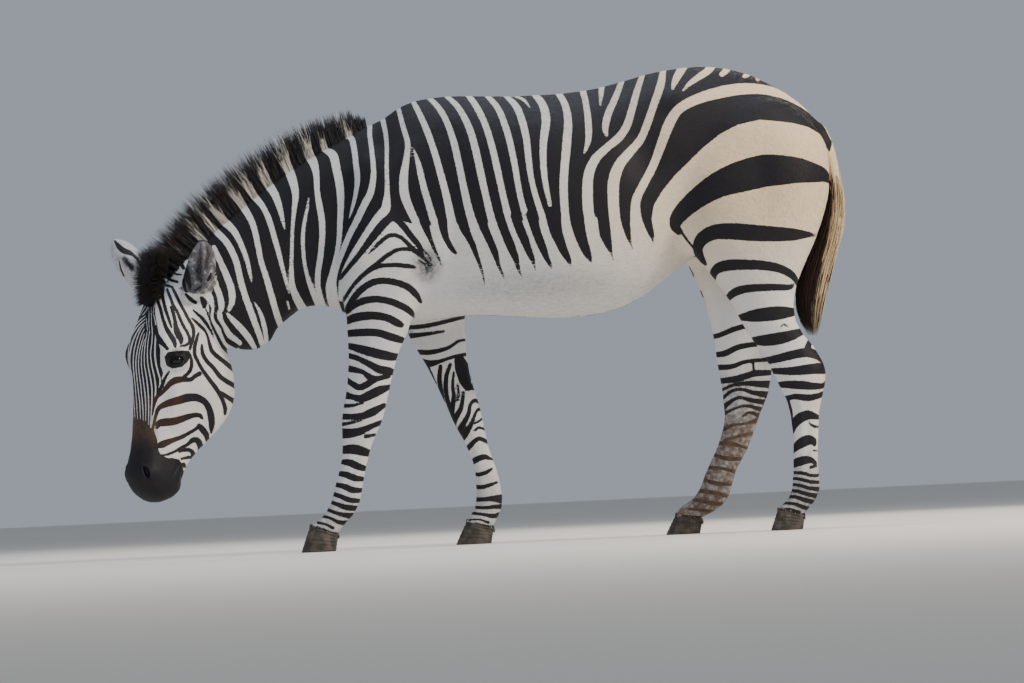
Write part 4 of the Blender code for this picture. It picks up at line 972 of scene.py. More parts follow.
@dataclass(frozen=True)
class CoatFinish:
    """Short flat hair: matt, a little lighter along the lay, black stripes on off-white."""

    black: str = "#141219"
    pale: str = "#d6d6d6"
    cream: str = "#dcc6a6"
    chestnut: str = "#3e241a"
    mud: str = "#5d4a3b"
    # The grey of bare skin; where the shade share lays it, it is also painted shade under the belly, on the
    # far hind leg and on the ears.
    skin: str = "#525257"
    fringe_mm: float = 0.9
    fringe_grain_mm: float = 4.5
    hair_mm: float = 3.0

    def make(self) -> bpy.types.Material:
        """Makes the material, which skin and tufts share.

        Returns:
            The material.
        """
        sockets = {"Roughness": 0.62, "Specular IOR Level": 0.32}
        material, tree, shader = new_material("short_flat_coat", sockets)
        marks = {}
        for name in ("tone", "warm", "umber", "earth", "dark_skin_and_shade", "grain"):
            marks[name] = (add_node(tree, "Attribute", attribute_name=name), "Fac")
        spot = (add_node(tree, "TexCoord"), "Object")
        lay = add_node(tree, "Mapping", {"Vector": spot, "Scale": (1.0, 1.6, 1.0)})
        # Hair of one colour runs a millimetre or so over the next at each stripe's edge.
        scale = 1000.0 / self.fringe_grain_mm
        ragged = add_node(tree, "TexNoise", {"Vector": lay, "Scale": scale, "Detail": 3.0})
        reach = {"From Min": 0.3, "From Max": 0.7, "To Min": -self.fringe_mm, "To Max": self.fringe_mm}
        shift = add_node(tree, "MapRange", {"Value": ragged, **reach})
        edge = add_node(tree, "Math", {0: marks["tone"], 1: shift}, operation="ADD")
        step = {"Value": edge, "From Min": -0.9, "From Max": 0.9}
        share = add_node(tree, "MapRange", step, interpolation_type="SMOOTHSTEP")
        # Dark skin, painted shade and dried mud show through in patches about a centimetre across.
        patches = add_node(tree, "TexNoise", {"Vector": spot, "Scale": 80.0, "Detail": 5.0})
        reach = {"From Min": 0.34, "From Max": 0.66, "To Min": 0.45, "To Max": 1.0}
        thin = add_node(tree, "MapRange", {"Value": patches, **reach})
        bare_and_shaded = add_node(tree, "Math", {0: marks["dark_skin_and_shade"], 1: thin}, operation="MULTIPLY")
        caked = add_node(tree, "Math", {0: marks["earth"], 1: thin}, operation="MULTIPLY")
        inputs = {0: marks["umber"], 6: linear(self.black), 7: linear(self.chestnut)}
        dark = add_node(tree, "Mix", inputs, **COLOUR)
        inputs = {0: marks["warm"], 6: linear(self.pale), 7: linear(self.cream)}
        light = add_node(tree, "Mix", inputs, **COLOUR)
        light = add_node(tree, "Mix", {0: bare_and_shaded, 6: (light, 2), 7: linear(self.skin)}, **COLOUR)
        coat = add_node(tree, "Mix", {0: share, 6: (dark, 2), 7: (light, 2)}, **COLOUR)
        coat = add_node(tree, "Mix", {0: caked, 6: (coat, 2), 7: linear(self.mud)}, **COLOUR)
        # Each hair's own lightness, drawn about three times as coarse as a hair so that it shows.
        scale = 1000.0 / self.hair_mm
        inputs = {"Vector": lay, "Scale": scale, "Detail": 2.0, "Roughness": 0.6}
        streaks = add_node(tree, "TexNoise", inputs)
        both = add_node(tree, "Math", {0: streaks, 1: marks["grain"]}, operation="ADD")
        reach = {"From Min": 0.2, "From Max": 1.3, "To Min": 0.80, "To Max": 1.12}
        level = add_node(tree, "MapRange", {"Value": both, **reach})
        toned = add_node(tree, "VectorMath", {0: (coat, 2), "Scale": level}, operation="SCALE")
        relief = add_node(tree, "Bump", {"Height": streaks, "Strength": 0.35, "Distance": 0.0012})
        tree.links.new(toned.outputs[0], shader.inputs["Base Color"])
        tree.links.new(relief.outputs[0], shader.inputs["Normal"])
        return material


@dataclass(frozen=True)
class LongHairFinish:
    """Coarse long hair: half gloss, dark at the tips, streaked from lock to lock."""

    black: str = "#151318"
    pale: str = "#cdc8c0"
    cream: str = "#c9ae86"
    brown: str = "#33211b"

    def make(self) -> bpy.types.Material:
        """Makes the material.

        Returns:
            The material.
        """
        sockets = {"Roughness": 0.48, "Specular IOR Level": 0.4}
        material, tree, shader = new_material("coarse_long_hair", sockets)
        marks = {}
        for name in ("tone", "warm", "umber", "grain"):
            marks[name] = (add_node(tree, "Attribute", attribute_name=name), "Fac")
        step = {"Value": marks["tone"], "From Min": -2.0, "From Max": 2.0}
        share = add_node(tree, "MapRange", step, interpolation_type="SMOOTHSTEP")
        inputs = {0: marks["umber"], 6: linear(self.black), 7: linear(self.brown)}
        dark = add_node(tree, "Mix", inputs, **COLOUR)
        inputs = {0: marks["warm"], 6: linear(self.pale), 7: linear(self.cream)}
        light = add_node(tree, "Mix", inputs, **COLOUR)
        hair = add_node(tree, "Mix", {0: share, 6: (dark, 2), 7: (light, 2)}, **COLOUR)
        level = add_node(tree, "MapRange", {"Value": marks["grain"], "To Min": 0.70, "To Max": 1.30})
        toned = add_node(tree, "VectorMath", {0: (hair, 2), "Scale": level}, operation="SCALE")
        tree.links.new(toned.outputs[0], shader.inputs["Base Color"])
        return material


@dataclass(frozen=True)
class HornFinish:
    """Hoof horn: dull and dusty, with growth rings about 6 mm apart and fine grain down the wall."""

    horn: str = "#37322d"
    worn: str = "#574e43"
    dark: str = "#1f1c1a"
    ring_mm: float = 6.0
    grain_mm: float = 1000.0 / 420.0
    dust_mm: float = 1000.0 / 45.0

    def make(self) -> bpy.types.Material:
        """Makes the material.

        Returns:
            The material.
        """
        material, tree, shader = new_material("hoof_horn", {"Roughness": 0.66})
        spot = (add_node(tree, "TexCoord"), "Object")
        level = add_node(tree, "Mapping", {"Vector": spot, "Scale": (0.1, 0.1, 1.0)})
        scale = 1000.0 / self.ring_mm
        rings = add_node(tree, "TexNoise", {"Vector": level, "Scale": scale, "Detail": 2.0})
        down = add_node(tree, "Mapping", {"Vector": spot, "Scale": (1.0, 1.0, 0.12)})
        scale = 1000.0 / self.grain_mm
        grain = add_node(tree, "TexNoise", {"Vector": down, "Scale": scale, "Detail": 4.0})
        scale = 1000.0 / self.dust_mm
        dust = add_node(tree, "TexNoise", {"Vector": spot, "Scale": scale, "Detail": 4.0})
        dusty = add_node(tree, "MapRange", {"Value": dust, "From Min": 0.42, "From Max": 0.68})
        inputs = {0: grain, 6: linear(self.dark), 7: linear(self.horn)}
        wall = add_node(tree, "Mix", inputs, **COLOUR)
        wall = add_node(tree, "Mix", {0: dusty, 6: (wall, 2), 7: linear(self.worn)}, **COLOUR)
        height = add_node(tree, "Math", {0: rings, 1: grain}, operation="ADD")
        relief = add_node(tree, "Bump", {"Height": height, "Strength": 0.5, "Distance": 0.0012})
        tree.links.new(wall.outputs[2], shader.inputs["Base Color"])
        tree.links.new(relief.outputs[0], shader.inputs["Normal"])
        return material


@dataclass(frozen=True)
class EyeFinish:
    """A wet eye: clear cornea over a dark brown iris with a wide level pupil and brown white."""

    pupil: str = "#050505"
    iris: str = "#170d08"
    white: str = "#1d1511"

    def make(self) -> bpy.types.Material:
        """Makes the material.

        Returns:
            The material.
        """
        sockets = {"Roughness": 0.08, "IOR": 1.376, "Coat Weight": 0.2, "Coat Roughness": 0.03}
        material, tree, shader = new_material("wet_eye", sockets)
        ring = (add_node(tree, "Attribute", attribute_name="iris"), "Fac")
        slit = (add_node(tree, "Attribute", attribute_name="pupil"), "Fac")
        spot = (add_node(tree, "TexCoord"), "Object")
        fibres = add_node(tree, "TexNoise", {"Vector": spot, "Scale": 900.0, "Detail": 2.0})
        inputs = {0: fibres, 6: linear(self.iris), 7: linear(self.pupil)}
        iris = add_node(tree, "Mix", inputs, **COLOUR)
        outer = add_node(tree, "MapRange", {"Value": ring, "From Min": 0.95, "From Max": 1.05})
        inner = add_node(tree, "MapRange", {"Value": slit, "From Min": 1.08, "From Max": 0.92})
        ball = add_node(tree, "Mix", {0: outer, 6: (iris, 2), 7: linear(self.white)}, **COLOUR)
        ball = add_node(tree, "Mix", {0: inner, 6: (ball, 2), 7: linear(self.pupil)}, **COLOUR)
        tree.links.new(ball.outputs[2], shader.inputs["Base Color"])
        return material




@dataclass(frozen=True)
class Fold:
    """A swelling or crease of the skin.

    Attributes:
        what: What it is on the animal.
        line: Its middle line in centimetres, in the maker's own frame.
        reach: Half its width, in centimetres.
        height: How far it stands out, in millimetres; a crease has less than none.
        paired: Whether the other side has one too.
    """

    what: str
    line: tuple[Station, ...]
    reach: float
    height: float
    paired: bool = True


BODY_FOLDS = (
    Fold("spine of the shoulder blade", ((-14, -15, 114), (-22, -19, 98), (-29, -20, 84)), 3.0, 3.0),
    Fold("groove behind the shoulder", ((-3, -15, 116), (-2, -20, 98), (-4, -21, 84)), 3.2, -3.5),
    Fold("back edge of the triceps", ((-7, -21, 90), (-8, -21, 80), (-11, -19, 70)), 2.4, 3.0),
    Fold("crease of the elbow", ((-5, -20, 78), (-8, -19, 71), (-13, -16, 65)), 1.6, -5.0),
    Fold("crease over the forearm", ((-12, -19, 74), (-20, -19, 71), (-28, -17, 74)), 1.8, -2.5),
    Fold("groove of the neck", ((-64, -8, 76), (-52, -11, 83), (-42, -14, 88)), 2.6, -3.5),
    Fold("upper neck muscle", ((-68, -8, 88), (-54, -11, 98), (-36, -11, 108)), 4.0, 3.0),
    Fold("first fold of the throat", ((-66, -6, 72), (-63, -7, 68), (-61, -3, 61)), 1.1, -3.0),
    Fold("second fold of the throat", ((-62, -7, 76), (-59, -8, 70), (-57, -4, 64)), 1.2, -2.4),
    Fold("third fold of the throat", ((-57, -8, 78), (-54, -9, 72), (-53, -4, 67)), 1.3, -2.0),
    Fold("rib", ((10, -25, 106), (14, -27, 90), (13, -24, 76)), 1.7, 0.9),
    Fold("rib", ((16, -25, 106), (20, -27, 90), (19, -24, 76)), 1.7, 0.9),
    Fold("rib", ((22, -25, 106), (26, -27, 90), (25, -24, 76)), 1.7, 0.9),
    Fold("rib", ((28, -25, 106), (32, -26, 92), (31, -24, 79)), 1.7, 0.8),
    Fold("fold of the flank", ((58, -20, 86), (54, -20, 78), (51, -17, 70)), 1.6, -4.0),
    Fold("skin ahead of the fold", ((54, -20, 87), (50, -20, 79), (47, -18, 71)), 2.4, 3.0),
    Fold("groove of the ham", ((97, -12, 108), (95, -15, 94), (90, -16, 80)), 2.2, -3.0),
    Fold("ventral line", ((-10, 0, 64), (15, 0, 63), (42, 0, 66)), 1.4, -1.6, False),
    Fold("trough of the back", ((0, 0, 127), (40, 0, 128), (80, 0, 131)), 2.2, -1.8, False),
)

LEG_FOLDS = (
    Fold("near fore cannon", ((-31.5, -13.8, 33), (-33.0, -13.8, 26), (-35.5, -13.6, 18)), 0.8, -2.4, False),
    Fold("near fore tendon", ((-29.4, -12.2, 33), (-31.0, -12.2, 26), (-33.4, -12.2, 18)), 0.9, 1.8, False),
    Fold("near knee cap", ((-35.0, -12, 40), (-35.4, -12, 37)), 2.2, 2.5, False),
    Fold("near forearm muscle", ((-27, -16, 60), (-28, -15, 52)), 2.6, 2.5, False),
    Fold("far fore cannon", ((1.2, 10.4, 32), (2.6, 10.4, 24), (3.4, 10.4, 18)), 0.8, -2.4, False),
    Fold("far knee cap", ((-4.6, 11, 36), (-4.0, 11, 33)), 2.0, 2.5, False),
    Fold("near hamstring", ((95.6, -10.6, 66), (96.4, -10.4, 58), (98.0, -10.6, 52)), 1.2, 2.4, False),
    Fold("hollow ahead of it", ((92.4, -12, 64), (93.6, -12, 56), (95.2, -12, 51)), 1.2, -4.0, False),
    Fold("near hind cannon", ((95.0, -13.4, 36), (94.8, -13.4, 28), (94.4, -13.4, 20)), 0.8, -2.4, False),
    Fold("near hind splint", ((93.2, -13.8, 38), (93.0, -13.8, 26)), 0.7, 1.4, False),
    Fold("hollow ahead of the far hamstring", ((83.0, 10, 52), (82.0, 10, 44)), 1.2, -3.0, False),
    Fold("far hind cannon", ((75.0, 10.4, 30), (71.4, 10.4, 22), (69.0, 10.4, 16)), 0.8, -2.0, False),
)

# The folds of the face, for one side, by distances down, out from and left of the brow.
FACE_FOLDS = (
    Fold("bony ridge below the eye", ((9.0, -7.0, 8.6), (15.0, -7.4, 7.8), (21.0, -7.6, 6.6)), 1.1, 3.2),
    Fold("edge of the nose bone", ((4.0, -2.6, 6.2), (16.0, -2.4, 4.6), (28.0, -2.0, 3.4)), 1.3, 1.8),
    Fold("hollow beside the nose", ((10.0, -4.6, 7.2), (22.0, -4.4, 5.6), (28.0, -4.2, 5.2)), 1.3, -2.2),
    Fold("hollow of the temple", ((-7.0, -6.4, 9.0), (-4.0, -6.0, 9.6)), 1.8, -3.0),
    Fold(
        "edge of the cheek",
        ((4.0, -19.5, 7.2), (12.0, -21.5, 6.4), (18.0, -19.0, 6.0), (22.0, -14.5, 6.2)), 1.5, 2.4,
    ),
    Fold("hollow behind the lips", ((24.0, -9.0, 6.0), (28.0, -12.0, 5.2)), 1.7, -2.4),
    Fold("groove of the jaw", ((12.0, -24.0, 3.6), (20.0, -21.0, 3.4), (28.0, -16.5, 3.0)), 1.2, -2.0),
    Fold("upper lip", ((36.5, -5.0, 5.2), (39.5, -6.5, 4.0)), 1.5, 1.8),
    Fold(
        "mouth",
        ((40.6, -4.8, 0.0), (40.4, -6.6, 2.6), (37.8, -8.6, 4.8), (34.4, -10.4, 5.8), (32.4, -11.4, 5.8)),
        0.42, -4.2,
    ),
    Fold("lower lip", ((41.0, -7.6, 1.6), (38.6, -10.2, 4.0), (35.2, -12.2, 4.8)), 0.9, 1.8),
    Fold("chin", ((38.6, -13.4, 0.0), (38.0, -13.4, 1.4)), 1.8, 2.2),
    Fold("crease of the chin", ((36.4, -14.6, 2.6), (35.0, -13.4, 4.4)), 0.8, -2.0),
)


@dataclass
class Skin:
    """One closed skin over trunk, neck, head, ears, dock and legs.

    Attributes:
        voxel: Edge of the even mesh that the flesh is joined on.
        trunk_faces: Triangles left on trunk and neck.
        limb_faces: Triangles left on the rest but the forehead and the eyes.
        face_faces: Triangles left on the forehead and round the eyes.
        relief: Half the height that the pale stripes stand up while the mesh is thinned.
        eye_place: The left eye on the head: down, out and to the left.
        lid: Thickness of an eyelid.
        opening: Half the length and half the height of the gap between the lids.
    """

    voxel: float = 0.0040
    trunk_faces: int = 74000
    limb_faces: int = 74000
    face_faces: int = 38000
    relief: float = 0.0030
    eye_place: Station = (0.034, -0.060, 0.0995)
    lid: float = 0.0030
    opening: Corner = (0.0200, 0.0100)
    flesh: tuple[str, ...] = (
        "trunk", "neck", "head", "tail_dock", "ear_left", "ear_right",
        "leg_fore_left", "leg_fore_right", "leg_hind_left", "leg_hind_right",
    )
    points: Array = field(init=False)
    normals: Array = field(init=False)
    triangles: Array = field(init=False)
    spots: Array = field(init=False)
    ear: Array = field(init=False)

    def join(self) -> bpy.types.Mesh:
        """Joins copies of the flesh into one even closed mesh.

        Returns:
            The mesh, in the maker's own frame.
        """
        bm = bmesh.new()
        for name in self.flesh + ("eye_left", "eye_right"):
            part = bmesh.new()
            part.from_mesh(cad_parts[name].data)
            bmesh.ops.remove_doubles(part, verts=part.verts, dist=1e-5)
            part.normal_update()
            for vert in part.verts:
                vert.co = vert.co + vert.normal * 0.0007 - PLACE
            copy = bpy.data.meshes.new("copy")
            part.to_mesh(copy)
            part.free()
            bm.from_mesh(copy)
            bpy.data.meshes.remove(copy)
        body = bpy.data.meshes.new("body")
        bm.to_mesh(body)
        bm.free()
        whole = link("body", body)
        even = whole.modifiers.new("even", "REMESH")
        even.mode = "VOXEL"
        even.voxel_size = self.voxel
        graph = bpy.context.evaluated_depsgraph_get()
        made = bpy.data.meshes.new_from_object(whole.evaluated_get(graph))
        bpy.data.objects.remove(whole)
        return made

    @staticmethod
    def read_mesh(mesh: bpy.types.Mesh) -> tuple[Array, Array, Array]:
        """Reads a mesh's points, their normals and its edges."""
        points, normals = fetch(mesh.vertices, "co", 3), fetch(mesh.vertices, "normal", 3)
        return points.astype(float), normals.astype(float), fetch(mesh.edges, "vertices", 2, np.int32)

    @staticmethod
    def write_points(mesh: bpy.types.Mesh, points: Array) -> Array:
        """Moves a mesh's points and gives the new normals."""
        mesh.vertices.foreach_set("co", points.astype(np.float32).ravel())
        mesh.update()
        return fetch(mesh.vertices, "normal", 3).astype(float)

    @staticmethod
    def relax(points: Array, edges: Array, share: Array, rounds: int) -> Array:
        """Eases points towards the middle of their neighbours.

        Args:
            points: The points.
            edges: Pairs of neighbours.
            share: How far each point goes in a round.
            rounds: Number of rounds.

        Returns:
            The eased points.
        """
        ends = edges.ravel()
        others = edges[:, ::-1].ravel()
        order = np.argsort(ends, kind="stable")
        others = others[order]
        counts = np.bincount(ends, minlength=len(points))
        starts = np.concatenate(([0], np.cumsum(counts)[:-1]))
        made = points.astype(np.float32)
        share = share.astype(np.float32)[:, None]
        counts = counts.astype(np.float32)[:, None]
        for _ in range(rounds):
            made = made + (np.add.reduceat(made[others], starts, axis=0) / counts - made) * share
        return made.astype(float)

    def find_ears(self, points: Array) -> Array:
        """Finds the ears' part of the skin.

        Args:
            points: Points in the maker's own frame.

        Returns:
            0 off the ears, else 1 plus the share of the length from the root, negative on the right.
        """
        found = np.zeros(len(points))
        for axis in EARS:
            share = (points - axis.root) @ axis.run / axis.length
            tree = surface(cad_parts[axis.name].data)
            off = np.linalg.norm(points - axis.root - (share * axis.length)[:, None] * axis.run, axis=1)
            for i in np.flatnonzero((share > 0.14) & (share < 1.1) & (off < 0.08)):
                hit = tree.find_nearest(Vector(points[i]) + PLACE, 0.012)
                if hit[0] is not None:
                    found[i] = axis.sign * (1.0 + min(share[i], 1.0))
        return found

    @staticmethod
    def fold(points: Array, normals: Array, folds: Iterable[Fold]) -> Array:
        """Raises and sinks the skin along its folds.

        Args:
            points: The skin's points.
            normals: Their outward directions.
            folds: The folds.

        Returns:
            The moved points.
        """
        lift = np.zeros(len(points))
        for row in folds:
            line = np.asarray(row.line, dtype=float) / 100.0
            sides = (line, line * (1.0, -1.0, 1.0)) if row.paired else (line,)
            reach = row.reach / 100.0
            for path in sides:
                low = path.min(axis=0) - reach * 3.0
                high = path.max(axis=0) + reach * 3.0
                near = np.flatnonzero(((points > low) & (points < high)).all(axis=1))
                gap = np.full(len(near), 1.0)
                for start, stop in zip(path[:-1], path[1:]):
                    run = stop - start
                    away = points[near] - start
                    share = np.clip(away @ run / (run @ run), 0.0, 1.0)
                    gap = np.minimum(gap, np.linalg.norm(away - share[:, None] * run, axis=1))
                lift[near] += row.height / 1000.0 * np.exp(-((gap / reach) ** 2))
        return points + normals * lift[:, None]

    @staticmethod
    def face_folds() -> tuple[Fold, ...]:
        """Gives the folds of the face, for both sides, in the maker's own frame."""
        made = []
        for fold in FACE_FOLDS:
            for sign in (1.0, -1.0):
                line = [(down / 100, out / 100, left / 100 * sign) for down, out, left in fold.line]
                path = tuple(tuple(face_point(*place) * 100) for place in line)
                made.append(Fold(fold.what, path, fold.reach, fold.height, False))
        return tuple(made)

    @staticmethod
    def round_ears(points: Array, ear: Array) -> Array:
        """Rounds the ears' tips and draws in their roots.

        Args:
            points: The skin's points.
            ear: The ears' marking.

        Returns:
            The moved points.
        """
        points = points.copy()
        for axis in EARS:
            near = np.flatnonzero(ear * axis.sign > 0.5)
            across = np.cross(axis.run, axis.out)
            away = points[near] - axis.root
            share = away @ axis.run / axis.length
            grow = axis.swell * np.exp(-(((share - 0.84) / 0.16) ** 2))
            grow = grow - 0.16 * np.exp(-(((share - 0.38) / 0.20) ** 2))
            points[near] += (away @ across * grow)[:, None] * across
        return points

    def eye_frame(self, sign: float) -> tuple[Array, Array, Array, Array]:
        """Gives an eye's middle, and its directions along the lids, up and outwards."""
        down, out, left = self.eye_place
        middle = face_point(down, out, left * sign)
        outward = unit(FACE_LEFT * sign * 0.93 + FACE_NORMAL * 0.37)
        back = -FACE_NORMAL * 0.93 - FACE_DOWN * 0.36
        along = unit(back - outward * (back @ outward))
        upward = np.cross(along, outward) * -sign
        return middle, along, upward, outward

    def set_eyes(self, points: Array) -> Array:
        """Forms the lids round each eye and draws the skin in behind the gap between them.

        Args:
            points: The skin's points.

        Returns:
            The moved points.
        """
        points = points.copy()
        half_length, half_height = self.opening
        for sign in (1.0, -1.0):
            middle, along, upward, outward = self.eye_frame(sign)
            near = np.flatnonzero(np.linalg.norm(points - middle, axis=1) < 0.050)
            local = (points[near] - middle) @ np.stack((along, upward, outward), axis=1)
            across, up, out = local.T
            near, across, up, out = (row[out > -0.004] for row in (near, across, up, out))
            spread = np.hypot(across, up)
            ball = np.sqrt(np.maximum(EYE_RADIUS**2 - np.minimum(spread, 0.0196) ** 2, 0.0))
            dome = np.sqrt((EYE_RADIUS + self.lid) ** 2 - np.minimum(spread, 0.0205) ** 2)
            bow = np.maximum(1.0 - (across / half_length) ** 2, 0.0) ** 0.75
            height = half_height * bow * np.where(up > 0.0, 0.92, 1.0) + 1e-4
            gap = np.abs(up) / height
            closed = np.where(np.abs(across) < half_length, ease(gap, 0.86, 1.10), 1.0)
            lids = dome + 0.0012 * np.exp(-(((gap - 1.25) / 0.22) ** 2)) * (np.abs(across) < half_length)
            crease = np.exp(-(((up - 0.0150 - across * 0.1) / 0.0020) ** 2))
            lids = lids - 0.0022 * (crease * ease(np.abs(across), 0.022, 0.012))
            wanted = (ball - 0.0045) * (1.0 - closed) + lids * closed
            keep = ease(spread, 0.0200, 0.0360)
            out = wanted * (1.0 - keep) + out * keep
            points[near] = middle + across[:, None] * along + up[:, None] * upward + out[:, None] * outward
        return points

    def open_nostrils(self, points: Array) -> Array:
        """Hollows the comma-shaped nostrils and raises their rims.

        Args:
            points: The skin's points.

        Returns:
            The moved points.
        """
        points = points.copy()
        for sign in (1.0, -1.0):
            middle = face_point(0.352, -0.014, 0.047 * sign)
            outward = unit(FACE_LEFT * sign * 0.80 + FACE_NORMAL * 0.55 + FACE_DOWN * 0.22)
            slope = FACE_DOWN * 0.84 - FACE_NORMAL * 0.54
            along = unit(slope - outward * (slope @ outward))
            across = np.cross(along, outward)
            near = np.flatnonzero(np.linalg.norm(points - middle, axis=1) < 0.045)
            local = (points[near] - middle) @ np.stack((along, across, outward), axis=1)
            bend = local[:, 1] * sign - 9.0 * local[:, 0] ** 2 + 0.002
            size = np.hypot(local[:, 0] / 0.0180, bend / 0.0085)
            sunk = -0.0130 * (1.0 - ease(size, 0.55, 1.05))
            rim = 0.0028 * np.exp(-(((size - 1.30) / 0.32) ** 2))
            points[near] += (sunk + rim)[:, None] * outward
        return points

    @staticmethod
    def lean_pasterns(points: Array) -> Array:
        """Brings each pastern's front out over the top of its hoof.

        Args:
            points: The skin's points.

        Returns:
            The moved points.
        """
        points = points.copy()
        back, side, height = points.T
        for sign, front, rear, reach in (
            (-1.0, -0.450, -0.380, 0.012),
            (1.0, -0.020, 0.050, 0.012),
            (-1.0, 0.870, 0.930, 0.014),
            (1.0, 0.612, 0.690, 0.038),
        ):
            near = (side * sign > 0.0) & (back > front - 0.06) & (back < rear + 0.06) & (height < 0.12)
            share = np.clip((rear - back) / (rear - front), 0.0, 1.0) * ease(height, 0.112, 0.052)
            points[:, 0] -= np.where(near, reach * share, 0.0)
        return points

    @staticmethod
    def subdivide(mesh: bpy.types.Mesh, chosen: Array) -> None:
        """Splits in two the edges whose points are both chosen."""
        bm = bmesh.new()
        bm.from_mesh(mesh)
        bm.verts.ensure_lookup_table()
        marked = [bm.verts[i] for i in np.flatnonzero(chosen)]
        inside = set(marked)
        edges = list({e for v in marked for e in v.link_edges if e.other_vert(v) in inside})
        bmesh.ops.subdivide_edges(bm, edges=edges, cuts=1, use_grid_fill=True)
        bmesh.ops.triangulate(bm, faces=bm.faces)
        bm.to_mesh(mesh)
        bm.free()

    @staticmethod
    def detail(points: Array) -> Array:
        """Marks the points of forehead and eyes with 1, of the lips with 0.5 and others with 0."""
        local = points - BROW
        down, out, left = local @ FACE_DOWN, local @ FACE_NORMAL, local @ FACE_LEFT
        front = (down > -0.10) & (down < 0.23) & (out > -0.050) & (np.abs(left) < 0.078)
        eyes = np.hypot(down - 0.034, out + 0.060) < 0.034
        eyes &= np.abs(left) > 0.06
        lips = (down > 0.30) & (out > -0.16)
        return np.where(front | eyes, 1.0, np.where(lips, 0.5, 0.0))

    @staticmethod
    def thin(mesh: bpy.types.Mesh, chosen: Array, wanted: int) -> bpy.types.Mesh:
        """Thins a mesh where its points are chosen.

        Args:
            mesh: The mesh.
            chosen: Whether each point may go.
            wanted: Triangles to be left among the chosen points.

        Returns:
            The thinner mesh.
        """
        corners = fetch(mesh.loops, "vertex_index", 1, np.int32)
        starts = fetch(mesh.polygons, "loop_start", 1, np.int32)
        sides = np.diff(np.append(starts, len(corners)))
        total = int((sides - 2).sum())
        inside = int((np.add.reduceat(chosen[corners] / 1.0, starts) / sides * (sides - 2)).sum())
        holder = link("thin", mesh)
        holder.vertex_groups.clear()
        group = holder.vertex_groups.new(name="thin")
        group.add(np.flatnonzero(chosen).tolist(), 1.0, "REPLACE")
        fewer = holder.modifiers.new("thin", "DECIMATE")
        fewer.ratio = min(1.0, (total - inside + wanted) / total)
        fewer.vertex_group = group.name
        graph = bpy.context.evaluated_depsgraph_get()
        made = bpy.data.meshes.new_from_object(holder.evaluated_get(graph))
        bpy.data.objects.remove(holder)
        return made

    def unwrap(self, piece: bpy.types.Object) -> None:
        """Unwraps the skin on its own shape, with the head drawn twice as large.

        Args:
            piece: The skin's object.
        """
        mesh = piece.data
        points, _, _ = self.read_mesh(mesh)
        head = Markings.is_head(points - np.array(PLACE))
        middle = points[head].mean(axis=0)
        larger = points.copy()
        larger[head] = middle + (points[head] - middle) * 2.0
        self.write_points(mesh, larger)
        bpy.context.view_layer.objects.active = piece
        piece.select_set(True)
        mesh.uv_layers.new(name="OFBake")
        bpy.ops.object.mode_set(mode="EDIT")
        bpy.ops.mesh.select_all(action="SELECT")
        bpy.ops.uv.smart_project(angle_limit=math.radians(60.0), island_margin=0.001)
        bpy.ops.object.mode_set(mode="OBJECT")
        piece.select_set(False)
        self.write_points(mesh, points)

    def build(self, finish: bpy.types.Material) -> bpy.types.Object:
        """Builds the skin.

        Args:
            finish: The coat's material.

        Returns:
            The skin's object.
        """
        mesh = self.join()
        points, normals, edges = self.read_mesh(mesh)
        log.info("flesh joined: %d points", len(points))
        ear = self.find_ears(points)
        on_ear = np.abs(ear) > 0.5
        head = ease(points[:, 0], -0.66, -0.74) * ease(points[:, 2], 0.90, 0.84)
        legs = ease(points[:, 2], 0.72, 0.60)
        share = 0.70 * (1.0 - np.maximum(head * 0.86, legs * 0.86))
        share = np.where(on_ear, 0.02, share)
        rounds = 36
        points = self.relax(points, edges, share, rounds)
        normals = self.write_points(mesh, points)
        depth = 0.0030 - 0.0016 * np.maximum(head, legs)
        depth = np.where(on_ear, 0.0004, depth)
        points = points - normals * depth[:, None]
        self.write_points(mesh, points)
        self.subdivide(mesh, self.detail(points) > 0.0)
        points, normals, edges = self.read_mesh(mesh)
        log.info("face refined: %d points", len(points))
        points = self.fold(points, normals, BODY_FOLDS + LEG_FOLDS + self.face_folds())
        points = self.lean_pasterns(points)
        points = self.open_nostrils(points)
        points = self.set_eyes(points)
        points = self.round_ears(points, self.find_ears(points))
        normals = self.write_points(mesh, points)
        mesh, points = self.thin_along_stripes(mesh, points, normals)
        return self.finish_skin(mesh, points, finish)

    def thin_along_stripes(
        self, mesh: bpy.types.Mesh, points: Array, normals: Array
    ) -> tuple[bpy.types.Mesh, Array]:
        """Thins the skin so that its own edges follow the stripes' edges.

        The pale stripes stand up as a low relief while the mesh is thinned, and are laid flat after.

        Args:
            mesh: The shaped mesh.
            points: Its points.
            normals: Their outward directions.

        Returns:
            The thinner mesh and its points.
        """
        tree = surface(mesh)
        tone = Markings.read(points, self.find_ears(points))["tone"] / 1000.0
        relief = np.clip(tone, -self.relief, self.relief) + self.relief
        self.write_points(mesh, points + normals * relief[:, None])
        raised = points
        for part, wanted in enumerate((self.face_faces, self.trunk_faces, self.limb_faces)):
            mesh = self.thin(mesh, self.regions(raised) == part, wanted)
            raised, _, _ = self.read_mesh(mesh)
            log.info("part %d thinned: %d faces", part, len(mesh.polygons))
        flat = [tree.find_nearest(Vector(point))[0] for point in raised]
        return mesh, np.array([tuple(place) for place in flat])

    @classmethod
    def regions(cls, points: Array) -> Array:
        """Numbers the skin's parts: 0 for forehead and eyes, 1 for trunk and neck, 2 for the rest."""
        trunk = (points[:, 2] > 0.66) & ~Markings.is_head(points) & (points[:, 0] > -0.72)
        trunk &= (points[:, 0] > -0.66) | (points[:, 2] < 0.74)
        return np.where(cls.detail(points) > 0.75, 0, np.where(trunk, 1, 2))

